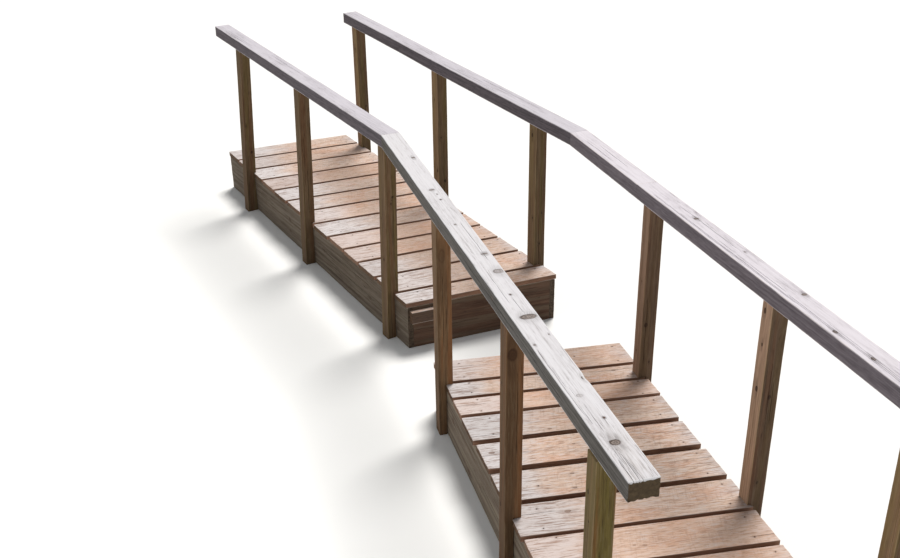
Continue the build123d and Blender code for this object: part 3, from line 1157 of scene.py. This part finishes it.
def near_section() -> Section:
    """The near section, placed by its middle left post."""
    low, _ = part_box("near_left_post_2")
    return Section(
        "near", Vector((low.x + 0.044, low.y - 1.464, 0)), turn=0.0, width=1.175, skew=5.15,
        boards=(0.237,) * 5 + (0.238, 0.238, 0.229, 0.230, 0.161, 0.149, 0.237),
        gaps=(0.028, 0.028, 0.028, 0.028, 0.025, 0.036, 0.045, 0.039, 0.028, 0.026, 0.028),
        posts={"left": (0.390, 1.464, 2.743), "right": (0.164, 1.236, 2.489)},
        laps={"left": (0.045, 0.045, 0.045), "right": (0.040, 0.025, 0.059)},
        leans={"left": (0, 0, 0), "right": (0, 0, 0)}, deck=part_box("near_board_01")[1].z)


def far_section(near: Section) -> Section:
    """The far section, placed from the near section's far left corner."""
    return Section(
        "far", near.corner + Vector((0.009, near.length + 0.790, 0)), turn=14.77, width=1.110, skew=8.35,
        boards=(0.165, 0.257, 0.247, 0.229, 0.231, 0.247, 0.241, 0.241, 0.241, 0.241, 0.251, 0.252, 0.236),
        gaps=(0.030,) * 12, posts={"left": (0.185, 1.582, 2.845), "right": (0.030, 1.418, 2.911)},
        laps={"left": (0.037, 0.026, 0.020), "right": (0.059, 0.054, 0.027)},
        leans={"left": (0.022, 0.030, 0.045), "right": (0, 0, 0)}, deck=near.deck)


@dataclass
class Deck:
    """The boards and nails of a section."""

    section: Section

    def nails(self, k: int) -> list[tuple[float, float]]:
        """Nail heads of a board: those that the photograph shows, and pairs over each stringer."""
        s = self.section
        rng = np.random.default_rng(40 + k + (90 if s.far else 0))
        spots = [SHOWN_NAILS[k]] if not s.far and k in SHOWN_NAILS else []
        for x in (NAIL_INSETS[0], s.width - NAIL_INSETS[1]):
            for share in NAIL_SHARES:
                spot = (x + rng.uniform(-NAIL_JITTER, NAIL_JITTER),
                        s.boards[k] * share + rng.uniform(-NAIL_JITTER, NAIL_JITTER))
                if all(math.dist(spot, other) > NAIL_APART for other in spots):
                    spots.append(spot)
        return spots

    def knots(self, k: int) -> Sequence[Triple]:
        """The knots and dark spots of a board: x, y from the board line and radius."""
        s = self.section
        if not s.far and k in SHOWN_KNOTS:
            return SHOWN_KNOTS[k]
        rng = np.random.default_rng(400 + k + (90 if s.far else 0))
        return [(rng.uniform(0.03, s.width - 0.05), rng.uniform(0.2, 0.8) * s.boards[k],
                 rng.uniform(0.004, 0.009)) for _ in range(rng.integers(0, 3))]

    def bleach(self, data: Surface, k: int, offset: float) -> Surface:
        """Stores how silvery each point of a board is: most at its two ends, by its distance along.

        Args:
            data: result of Timber.surface.
            k: number of the board.
            offset: where the board starts along the grain pattern.

        Returns:
            The same data with its tone filled in.
        """
        s = self.section
        along = data["timber"][:, 0] - offset
        edge = (0.38 if s.far else 0.30) + 0.09 * math.sin(k * 1.7)
        left = np.clip(1.25 - along / (edge * 1.25), 0, 1)
        right = np.clip(0.75 - (s.width - along) / 0.3, 0, 1)
        data["tone"][:, 0] = np.maximum(left, right * 0.8)
        return data

    def build(self) -> None:
        """Makes the boards, one piece each on the near section and one for all on the far one."""
        s = self.section
        far_parts, heads = [], []
        for k in range(len(s.boards)):
            timber, place = s.board(k, self.knots(k), self.nails(k))
            data = self.bleach(timber.surface(place), k, timber.offset)
            if s.far:
                far_parts.append(data)
            else:
                assemble(timber.name, [data], DECK, [f"near_board_{k + 1:02d}"])
            heads += [nail_head(place, mark) for mark in timber.nails]
        if far_parts:
            assemble("far_boards_timber", far_parts, DECK, ["far_boards"])
        assemble(f"{s.key}_nails", heads, NAIL, [])


HEAD_SIDES = 14
HEAD_RINGS = ((1.0, -0.002), (1.0, -0.0002), (0.85, 0.0003), (0.45, 0.0006))
HEAD_TIP, HEAD_ROOT = 0.0007, -0.002


def nail_head(place: Place, mark: Mark) -> Surface:
    """A low domed nail head, half sunk: rings whose height falls with the square of their radius.

    Args:
        place: the board's placing function.
        mark: where the nail is.

    Returns:
        Arrays as Timber.surface gives.
    """
    angle = np.arange(HEAD_SIDES) * 2 * math.pi / HEAD_SIDES
    rings = [np.stack([mark.along + r * mark.radius * np.cos(angle),
                       mark.across + r * mark.radius * np.sin(angle), 0 * angle + height], 1)
             for r, height in HEAD_RINGS]
    at = np.concatenate(rings + [np.array([[mark.along, mark.across, h]]) for h in (HEAD_TIP, HEAD_ROOT)])
    grid = np.arange(len(HEAD_RINGS) * HEAD_SIDES).reshape(-1, HEAD_SIDES)
    beside = np.roll(grid, -1, axis=1)
    quads = np.stack([grid[:-1], beside[:-1], beside[1:], grid[1:]], -1).reshape(-1, 4)
    tip = np.full(HEAD_SIDES, grid.size)
    tris = np.concatenate([np.stack([grid[-1], beside[-1], tip], -1),
                           np.stack([beside[0], grid[0], tip + 1], -1)])
    zero = np.zeros((len(at), 3))
    return {"co": place(at[:, 0], at[:, 1], at[:, 2]), "quads": quads, "tris": tris, "timber": at,
            "knot": zero + FAR_OFF, "nail": zero + FAR_OFF, "state": zero, "tone": zero,
            "end": np.zeros(len(quads) + len(tris))}


@dataclass
class Underframe:
    """Stringers, headers and cleat of a section."""

    section: Section

    def stringer(self, side: str) -> None:
        """A stringer on edge: along is the section's length."""
        s = self.section
        low = s.inset if side == "left" else s.width - s.inset - BOARD
        name = f"{s.key}_{side}"
        rng = np.random.default_rng(STRINGER_SEEDS[name])
        outward = Face.LEFT if side == "left" else Face.RIGHT
        cracks = [Crack(outward, a, b, b + c, width=0.0022, depth=0.005)
                  for a, b, c in zip(np.linspace(0.18, 0.82, 6) + rng.uniform(-0.03, 0.03, 6),
                                     rng.uniform(0.0, s.length * 0.7, 6), rng.uniform(0.3, 0.9, 6))]
        knots = [Mark(outward, rng.uniform(0.1, s.length - 0.1), rng.uniform(-0.31, -0.08),
                      rng.uniform(0.008, 0.016)) for _ in range(5)]
        rise = math.tan(math.radians(s.skew))
        timber = Timber(
            f"{name}_stringer_timber", s.length, left=low, right=low + BOARD, bottom=-BOARD - STRINGER_DEPTH,
            top=-BOARD, seed=STRINGER_SEEDS[name], pith=(0.0, -0.25 + 0.05 * rng.uniform()),
            tilt=(0.0, 0.03), tone=FRAME_TONES_FAR_SHADED[s.key], ease=0.003, wear=0.005, wave=0.0016,
            crumble=(0.001, 0.001), step=0.02, spacing=0.014, cracks=cracks, knots=knots,
            start_plane=lambda y, z: -y * rise, stop_plane=lambda y, z: s.length - y * rise)
        data = timber.surface(lambda along, across, up: s.point(across, along, up))
        assemble(timber.name, [data], FRAME, [f"{name}_stringer"])

    def crosspiece(self, name: str, start: float, ends: tuple[float, float], levels: tuple[float, float],
                   seed: int, look: Finish) -> None:
        """A header or cleat that runs along a board line.

        Args:
            name: the CAD node.
            start: where its near face meets the left edge.
            ends: its ends across the section.
            levels: heights of its underside and top above the deck.
            seed: picks its grain.
            look: its finish.
        """
        s = self.section
        a = math.radians(s.skew)
        planes = [lambda y, z, x=x: (x - y * math.sin(a)) / math.cos(a) for x in ends]
        wide = ends[1] - ends[0]
        timber = Timber(
            f"{name}_timber", wide / math.cos(a), left=0.0, right=BOARD, bottom=levels[0], top=levels[1],
            seed=seed, pith=(0.0, levels[1] - 0.1), tilt=(0.0, 0.02), tone=CROSS_TONE, ease=0.0025,
            wear=0.003, wave=0.001, crumble=(0.001, 0.001), step=0.02, spacing=0.012,
            start_plane=planes[0], stop_plane=planes[1],
            cracks=[Crack(Face.LEFT, 0.4, 0.1, 0.5, width=0.002, depth=0.004)] if wide > 0.5 else ())
        data = timber.surface(lambda along, across, up: s.point(*s.skewed(start, along, across), up))
        assemble(timber.name, [data], look, [name])

    def build(self) -> None:
        """Makes the stringers, the headers and, on the far section, the cleat."""
        s = self.section
        for side in ("left", "right"):
            self.stringer(side)
        left = s.inset + BOARD
        for name, start, seed in (("front", 0.0, 21), ("back", s.length - BOARD * s.stretch, 22)):
            self.crosspiece(f"{s.key}_{name}_header", start, (left, s.width - left),
                            (-BOARD - STRINGER_DEPTH, -BOARD), seed, FASCIA)
        if s.far:
            self.crosspiece("step_cleat", -BOARD * s.stretch, CLEAT_ENDS, CLEAT_LEVELS, 23, CLEAT)


@dataclass
class Rail:
    """A handrail timber between two points of its top centre line, in the row frame.

    Details are settings of its timber, and rough is the length of the bare wood at its near end. Silver
    and bare are how silvery it is elsewhere and there.
    """

    name: str
    start: Vector
    stop: Vector
    seed: int
    look: Finish
    details: dict[str, object]
    rough: float = 0.0
    before: Optional["Rail"] = None
    after: Optional["Rail"] = None
    width: float = 0.124
    thick: float = 0.088
    silver: float = 0.7
    bare: float = 0.3

    @property
    def along(self) -> Vector:
        """Direction of the rail."""
        return (self.stop - self.start).normalized()

    @property
    def side(self) -> Vector:
        """Level direction to the rail's right."""
        return self.along.cross(Vector((0, 0, 1))).normalized()

    @property
    def up(self) -> Vector:
        """Direction square to the rail's top."""
        return self.side.cross(self.along)

    @property
    def heading(self) -> float:
        """Compass angle of the rail, clockwise from +Y, in radians."""
        return math.atan2(self.along.x, self.along.y)

    def cut(self, point: Vector, other: Optional["Rail"]) -> Plane:
        """The end plane at a point: upright, and half way between this rail's heading and the other's.

        Args:
            point: a point of the plane.
            other: the rail it meets, if any.

        Returns:
            The along coordinate where the plane crosses a line at across and up.
        """
        heading = (self.heading + (other or self).heading) / 2
        normal = Vector((math.sin(heading), math.cos(heading), 0))
        scale, offset = normal.dot(self.along), normal.dot(point - self.start)
        ny, nz = normal.dot(self.side), normal.dot(self.up)
        return lambda y, z: (offset - y * ny - z * nz) / scale

    def build(self) -> None:
        """Makes the rail, and the heads of its nails if it has any."""
        settings = {"step": 0.014, "crumble": (0.003, 0.003), **self.details}
        timber = Timber(
            f"{self.name}_timber", (self.stop - self.start).length, left=-self.width / 2,
            right=self.width / 2, bottom=-self.thick, top=0.0, seed=self.seed, pith=(0.02, -0.13),
            tilt=(0.006, 0.014), tone=(self.silver, 0.5, 0.4), ease=0.0035, wear=0.0014, wave=0.0008,
            cup=0.0006, spacing=0.009, start_plane=self.cut(self.start, self.before),
            stop_plane=self.cut(self.stop, self.after), **settings)
        origin, a, s, u = (np.array(v) for v in (self.start, self.along, self.side, self.up))

        def place(along: Array, across: Array, up: Array) -> Array:
            """Points of the bridge from the rail's own coordinates."""
            return origin + along[:, None] * a + across[:, None] * s + up[:, None] * u

        data = timber.surface(place)
        if self.rough:
            share = np.clip((data["timber"][:, 0] - timber.offset) / self.rough - 0.6, 0, 1)
            data["tone"][:, 0] = self.bare + (self.silver - self.bare) * share
        assemble(timber.name, [data], self.look, [self.name])
        if timber.nails:
            heads = [nail_head(place, mark) for mark in timber.nails]
            assemble(f"{self.name}_nails", heads, NAIL, [])


@dataclass(frozen=True)
class PostLook:
    """What one post has of its own: finish, tone, painted light and shade on its left face, foot dirt with
    painted shade.
    """

    tone: Triple = (0.1, 0.48, 0.6)
    look: Finish = POST
    painted_left_face_light: Optional[float] = None
    foot_dirt_and_shade: float = 0.16
    knots: Sequence[Mark] = ()


# Third value: painted light (above 0) and painted shade (below 0) on a post's left face. Fourth: foot dirt
# with painted shade.
POST_LOOKS = {
    "near_left_post_1": PostLook((0.1, 0.48, 0.3), POST_OLIVE),
    "near_left_post_2": PostLook((0.0, 0.44, 0.9), POST_BROWN, -0.28, 0.08,
                                 (Mark(Face.TOP, 1.290, -0.012, 0.024, 1.4),)),
    "near_left_post_3": PostLook((0.1, 0.68, 0.75), POST_BROWN, -0.22, 0.3,
                                 (Mark(Face.TOP, 1.20, -0.008, 0.018, 2.4, 0.3),)),
    "near_right_post_2": PostLook((0.1, 0.45, 0.4), POST_UMBER_LIT_SIDES, 0.95, 0.3,
                                  (Mark(Face.LEFT, 1.423, -1.298, 0.009, 1.6),
                                   Mark(Face.LEFT, 1.007, -1.287, 0.009, 1.6),
                                   Mark(Face.LEFT, 1.25, -1.287, 0.006, 1.6))),
    "near_right_post_3": PostLook((0.0, 0.42, 0.8), POST_UMBER_LIT_SIDES, 0.3),
    "far_left_post_1": PostLook((0.05, 0.51, 0.6)),
    "far_left_post_2": PostLook((0.0, 0.38, 0.6)),
    "far_left_post_3": PostLook((0.0, 0.36, 0.6)),
    "far_right_post_1": PostLook((0.0, 0.34, 0.4), painted_left_face_light=0.25),
    "far_right_post_2": PostLook((0.0, 0.36, 0.6)),
    "far_right_post_3": PostLook((0.0, 0.34, 0.6))}
HEAD_ABOVE_DECK = 1.09
HALF_POST = 0.0445
FOOT_DARKENING_HEIGHT = 0.7
POST_CRACKS_APART = 0.2


@dataclass
class Posts:
    """The posts of a section, half-lapped over the deck's edge."""

    section: Section
    rails: dict[str, list[list[Rail]]]

    def build(self) -> None:
        """Makes every post of the section."""
        for side in ("left", "right"):
            for k in range(len(self.section.posts[side])):
                self.post(side, k)

    def head(self, side: str, k: int) -> Plane:
        """Height of the lowest rail underside over each point of a post's outline.

        Args:
            side: left or right.
            k: number along the section.

        Returns:
            The plane that ends the post.
        """
        s = self.section

        def plane(across: Array, up: Array) -> Array:
            """Height at across and up."""
            at = s.point(across + s.leans[side][k] * HEAD_ABOVE_DECK, -up, 0 * across)
            level = np.full(across.shape, np.inf)
            for rail in self.rails[side][k]:
                anchor = rail.start - rail.up * rail.thick
                fall = (at[..., 0] - anchor.x) * rail.up.x + (at[..., 1] - anchor.y) * rail.up.y
                level = np.minimum(level, anchor.z - fall / rail.up.z)
            return level
        return plane

    def post(self, side: str, k: int) -> None:
        """One post: along is its height from the ground, across and up are plan coordinates.

        Args:
            side: left or right.
            k: number along the section.
        """
        s, right = self.section, side == "right"
        name = f"{s.key}_{side}_post_{k + 1}"
        own = POST_LOOKS.get(name, PostLook())
        seed = 200 + 17 * k + (5 if right else 0) + (60 if s.far else 0)
        rng = np.random.default_rng(seed)
        y0, lap, lean = s.posts[side][k], s.laps[side][k], s.leans[side][k]
        x0 = s.width - lap if right else lap - s.post
        leg = (s.width - s.inset, x0 + s.post) if right else (x0, s.inset)
        head = self.head(side, k)
        height = head(np.array([x0 + HALF_POST]), np.array([-(y0 + HALF_POST)]))[0]
        cracks = []
        for face in (Face.TOP, Face.LEFT):
            for _ in range(2):
                share = rng.uniform(0.25, 0.75)
                if all(c.face != face or abs(c.across - share) > POST_CRACKS_APART for c in cracks):
                    start = rng.uniform(0.3, 0.9)
                    stop = start + rng.uniform(0.2, 0.55)
                    cracks.append(Crack(face, share, start, stop, width=0.0016, depth=0.008))
        knots = list(own.knots)
        for face in (Face.TOP, Face.LEFT, Face.RIGHT):
            for _ in range(0 if face in [mark.face for mark in own.knots] else 2):
                inward = rng.uniform(0.02, 0.07)
                level = x0 + inward if face is Face.TOP else -(y0 + inward)
                knots.append(Mark(face, rng.uniform(0.4, height - 0.1), level, rng.uniform(0.004, 0.009),
                                  stretch=1.4, strength=rng.uniform(0.5, 1.0)))
        pith = (x0 + rng.uniform(-0.02, 0.11), -(y0 + rng.uniform(0.0, 0.16)))
        tilt = (rng.uniform(-0.02, 0.02), rng.uniform(-0.02, 0.02))
        # Painted light on right posts' left faces and painted shade on left posts' left faces, unless a post
        # look sets its own.
        painted_left_face_light = (0.5 if right else -0.15) if own.painted_left_face_light is None else own.painted_left_face_light
        timber = Timber(
            f"{name}_timber", height, left=x0, right=x0 + s.post, bottom=-(y0 + s.post), top=-y0, seed=seed,
            pith=pith, tilt=tilt, tone=own.tone, ease=0.0028, wear=0.003, wave=0.0008,
            crumble=(0.002, 0.0004), step=0.016, spacing=0.01, cracks=cracks, knots=knots, stop_plane=head,
            # Right posts' front faces get painted shade.
            notch=Notch(s.deck, *leg, lean), painted_face_light=(-0.08 if right else 0.0, 0.0, 0.0, painted_left_face_light))

        def place(along: Array, across: Array, up: Array) -> Array:
            """Points of the bridge: along is a height above the ground, and up runs against the section."""
            at = s.point(across + lean * (along - s.deck), -up, 0 * across)
            return np.stack([at[:, 0], at[:, 1], along], -1)

        data = timber.surface(place)
        # Dirt with painted shade: brightness falls towards the foot, except at points of right posts that the
        # mask spares.
        spared_from_darkening = right & (data["timber"][:, 1] < x0 + 0.002)
        fade = np.clip(1 - (data["timber"][:, 0] - timber.offset) / FOOT_DARKENING_HEIGHT, 0, 1)
        data["tone"][:, 1] -= np.where(spared_from_darkening, 0.0, own.foot_dirt_and_shade) * fade
        assemble(timber.name, [data], own.look, [name])


def scatter(seed: int, length: float, shares: Sequence[float], reach: tuple[float, float]) -> list[Crack]:
    """Cracks spread along a rail's top, one for each share across it.

    Args:
        seed: picks their places.
        length: the rail's length.
        shares: places across the top.
        reach: shortest and longest crack.

    Returns:
        The cracks.
    """
    rng = np.random.default_rng(seed)
    rows = [(share, rng.uniform(0, length * 0.8), rng.uniform(*reach)) for share in shares]
    return [Crack(Face.TOP, share, start, start + run, width=0.0018, depth=0.005)
            for share, start, run in rows]


def top_marks(*rows: Sequence[float]) -> list[Mark]:
    """Marks on a top face, from what follows their face."""
    return [Mark(Face.TOP, *row) for row in rows]


def top_cracks(*rows: Sequence[float]) -> list[Crack]:
    """Cracks of a top face, from what follows their face."""
    return [Crack(Face.TOP, *row) for row in rows]


RAIL_DETAILS = {
    "near_left_rail": {
        "crumble": (0.006, 0.003), "ragged": 0.009,
        "knots": top_marks(
            (0.233, -0.006, 0.021, 0.85), (0.977, -0.044, 0.006, 1, 0.8), (1.218, 0.014, 0.039, 0.52),
            (1.044, 0.044, 0.004), (1.685, 0.031, 0.024, 0.8, 0.6), (1.889, 0.028, 0.016, 0.4, 0.9),
            (2.272, -0.009, 0.007, 0.8, 0.9), (2.771, 0.001, 0.016, 0.5, 0.9), (2.700, 0.012, 0.004),
            (3.3, 0.03, 0.01), (0.676, 0.050, 0.008, 1.5, 0.9), (0.560, -0.012, 0.014, 0.8, 0.3))
        + [Mark(Face.LEFT, 1.5, -0.04, 0.012, 1.4, 0.6), Mark(Face.LEFT, 2.4, -0.06, 0.010, 1.4, 0.6)],
        "nails": top_marks((0.392, 0.017, 0.004), (1.440, 0.007, 0.004), (2.62, 0.01, 0.004)),
        "dents": [Dent(0, 0.676, 0.024, 0.009), Dent(0, 1.70, 0.05, 0.003), Dent(0, 2.5, 0.04, 0.003)],
        "cracks": top_cracks(
            (0.14, -0.05, 0.15, 0.0016, 0.004), (0.24, -0.05, 0.20, 0.0018, 0.005),
            (0.35, -0.05, 0.19, 0.0016, 0.004), (0.09, 0.42, 0.95, 0.0013, 0.004),
            (0.165, 0.36, 0.80, 0.0012, 0.004), (0.235, 0.5, 0.68, 0.0010, 0.003),
            (0.55, 1.25, 1.42, 0.0014, 0.004), (0.7, 1.8, 2.3, 0.0014, 0.004),
            (0.3, 1.35, 1.9, 0.0014, 0.004))
        + [Crack(Face.LEFT, 0.45, 0.6, 1.9, 0.0018, 0.005)]
        + top_cracks(
            (0.45, -0.05, 0.12, 0.0012, 0.003), (0.29, 0.02, 0.17, 0.0012, 0.003),
            (0.19, 0.03, 0.19, 0.0012, 0.003), (0.40, 0.0, 0.16, 0.0012, 0.003),
            (0.32, 0.30, 0.52, 0.0012, 0.003), (0.42, 0.31, 0.47, 0.0012, 0.003))},
    "far_left_rail": {
        "crumble": (0.003, 0.005), "step": 0.02,
        "cracks": scatter(4, 3.2, (0.2, 0.38, 0.7), (0.4, 1.0))},
    "near_right_rail": {
        "crumble": (0.005, 0.003),
        "knots": top_marks(
            (1.259, 0.041, 0.011, 0.8), (0.916, -0.034, 0.009, 1.6), (0.674, -0.023, 0.009, 1.6),
            (2.2, 0.01, 0.012, 0.8), (1.75, 0.03, 0.005)),
        "cracks": top_cracks(
            (0.2, 0.3, 2.3, 0.0020, 0.005), (0.27, 0.1, 1.3, 0.0016, 0.005), (0.13, 1.2, 2.6, 0.0016, 0.005),
            (0.36, 0.2, 1.0, 0.0014, 0.004), (0.33, 1.3, 1.9, 0.0014, 0.004), (0.62, 1.8, 2.4, 0.0014, 0.004),
            (0.5, 0.15, 0.6, 0.0014, 0.004))},
    "middle_right_rail": {"cracks": scatter(6, 0.9, (0.25, 0.6), (0.3, 0.6))},
    "far_right_rail_1": {"cracks": scatter(7, 1.9, (0.2, 0.4, 0.72), (0.3, 0.9))},
    "far_right_rail_3": {"cracks": scatter(9, 1.1, (0.3, 0.6), (0.3, 0.6)), "crumble": (0.003, 0.005)}}
ROUGH_LENGTHS = {"near_left_rail": 0.35, "near_right_rail": 0.5}
SIDE_RAILS = {"left": ("near_left_rail", "far_left_rail"),
              "right": ("near_right_rail", "middle_right_rail", "far_right_rail_1", "far_right_rail_2",
                        "far_right_rail_3")}
RAIL_SEEDS = {"left": 50, "right": 70}


def make_rails(near: Section, far: Section) -> dict[str, list[Rail]]:
    """The handrails of each side, joined end to end.

    Each point of their top centre lines is given by its section, how far it is outside the deck's edge,
    its place along and its height above the deck.

    Args:
        near: the near section.
        far: the far section.

    Returns:
        The rails by side, from the near end.
    """
    seats = {
        "left": ((near, -0.031, 0.143, 1.192), (far, 0.013, 0.111, 1.177), (far, -0.045, 3.430, 1.169)),
        "right": ((near, 0.076, -0.095, 1.233), (near, -0.008, 2.660, 1.178), (near, -0.038, 3.637, 1.160),
                  (far, -0.010, 1.462, 1.172), (far, 0.009, 2.056, 1.180), (far, 0.037, 3.169, 1.190))}
    rails = {}
    for side, rows in seats.items():
        points = [Vector(s.point(s.width + out if side == "right" else -out, along, up))
                  for s, out, along, up in rows]
        rails[side] = chain = []
        for k, name in enumerate(SIDE_RAILS[side]):
            plain = RAIL if side == "left" else RAIL_LILAC
            # Far rails take the darker copy of the finish, which is painted shade.
            chain.append(Rail(name, points[k], points[k + 1], RAIL_SEEDS[side] + 3 * k,
                              RAIL_SHADED if name.startswith("far") else plain, RAIL_DETAILS.get(name, {}),
                              ROUGH_LENGTHS.get(name, 0.0)))
        for one, two in zip(chain, chain[1:]):
            one.after, two.before = two, one
    return rails


@dataclass
class Studio:
    """Floor, lights, world and camera. The camera's place and axes are those of the photograph."""

    lens: float = 44.398
    sensor: float = 36.0
    eye: Triple = (-1.33666, -4.12392, 3.87882)
    right: Triple = (0.965111, -0.261371, -0.015673)
    down: Triple = (-0.131596, -0.432427, -0.892014)
    ahead: Triple = (0.226369, 0.862956, -0.451735)
    clip_end: float = 200
    floor_half: float = 60.0

    def camera(self) -> None:
        """The camera, placed from the foot of the middle left post of the near section."""
        low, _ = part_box("near_left_post_2")
        data = bpy.data.cameras.new("camera")
        data.lens, data.sensor_width, data.sensor_fit = self.lens, self.sensor, "HORIZONTAL"
        data.clip_end = self.clip_end
        camera = link("camera", data)
        turned = Matrix([[self.right[k], -self.down[k], -self.ahead[k]] for k in range(3)])
        camera.matrix_world = Matrix.Translation(low + Vector(self.eye)) @ turned.to_4x4()
        bpy.context.scene.camera = camera

    def floor(self) -> None:
        """A pale floor at ground level."""
        mesh = bpy.data.meshes.new("floor")
        corners = ((-1, -1), (1, -1), (1, 1), (-1, 1))
        points = [(x * self.floor_half, y * self.floor_half, 0) for x, y in corners]
        mesh.from_pydata(points, [], [(0, 1, 2, 3)])
        mesh.materials.append(FLOOR.material())
        link("floor", mesh)

    def light(self, name: str, kind: str, place: Triple, target: Triple, power: float, colour: Colour,
              **settings: object) -> None:
        """A light that faces a target.

        Args:
            name: its name.
            kind: its type.
            place: where it hangs.
            target: what it faces.
            power: watts, or watts per square metre for a sun.
            colour: linear colour.
            settings: its other attributes.
        """
        data = bpy.data.lights.new(name, kind)
        for key, value in {"energy": power, "color": colour, **settings}.items():
            setattr(data, key, value)
        lamp = link(name, data)
        lamp.location = place
        lamp.rotation_euler = (Vector(target) - Vector(place)).to_track_quat("-Z", "Y").to_euler()

    def world(self) -> None:
        """Soft grey light all round, and white where the camera or a reflection sees it."""
        world = bpy.data.worlds.new("studio")
        bpy.context.scene.world = world
        world.use_nodes = True
        n = Nodes(world.node_tree)
        ray = n.make("ShaderNodeLightPath").outputs
        seen, glossy, through = (Number(n, ray[f"Is {kind} Ray"])
                                 for kind in ("Camera", "Glossy", "Transmission"))
        fill = n.make("ShaderNodeBackground", in0=(0.94, 0.97, 1.0), in1=0.30).outputs[0]
        white = n.make("ShaderNodeBackground", in0=(1, 1, 1), in1=1.0).outputs[0]
        both = n.make("ShaderNodeMixShader", in0=seen.most(glossy).most(through), in1=fill, in2=white)
        n.make("ShaderNodeOutputWorld", in0=both.outputs[0])

    def build(self) -> None:
        """Sets up the whole studio, with a wide far-off sun so that both sections get the same light."""
        self.camera()
        self.floor()
        self.world()
        self.light("key", "SUN", (5.5, 6.0, 16.0), (0, 0, 0), 3.8, (1.0, 0.975, 0.94),
                   angle=math.radians(22.0))
        self.light("fill", "AREA", (-7.5, -2.5, 4.5), (0, 0, 0.5), 110, (0.96, 0.98, 1.0),
                   shape="SQUARE", size=5.0)
        bpy.context.scene.view_settings.view_transform = "Standard"


def main() -> None:
    """Builds the studio and the dressed bridge."""
    logging.basicConfig(level=logging.INFO, format="%(message)s")
    Studio().build()
    near = near_section()
    far = far_section(near)
    rails = make_rails(near, far)
    left, right = rails["left"], rails["right"]
    for section in (near, far):
        Deck(section).build()
        Underframe(section).build()
    for rail in left + right:
        rail.build()
    Posts(near, {"left": [left[:1]] * 3, "right": [right[:1]] * 3}).build()
    Posts(far, {"left": [left[1:]] * 3, "right": [right[2:3], right[2:4], right[4:]]}).build()


if __name__ == "__main__":
    main()
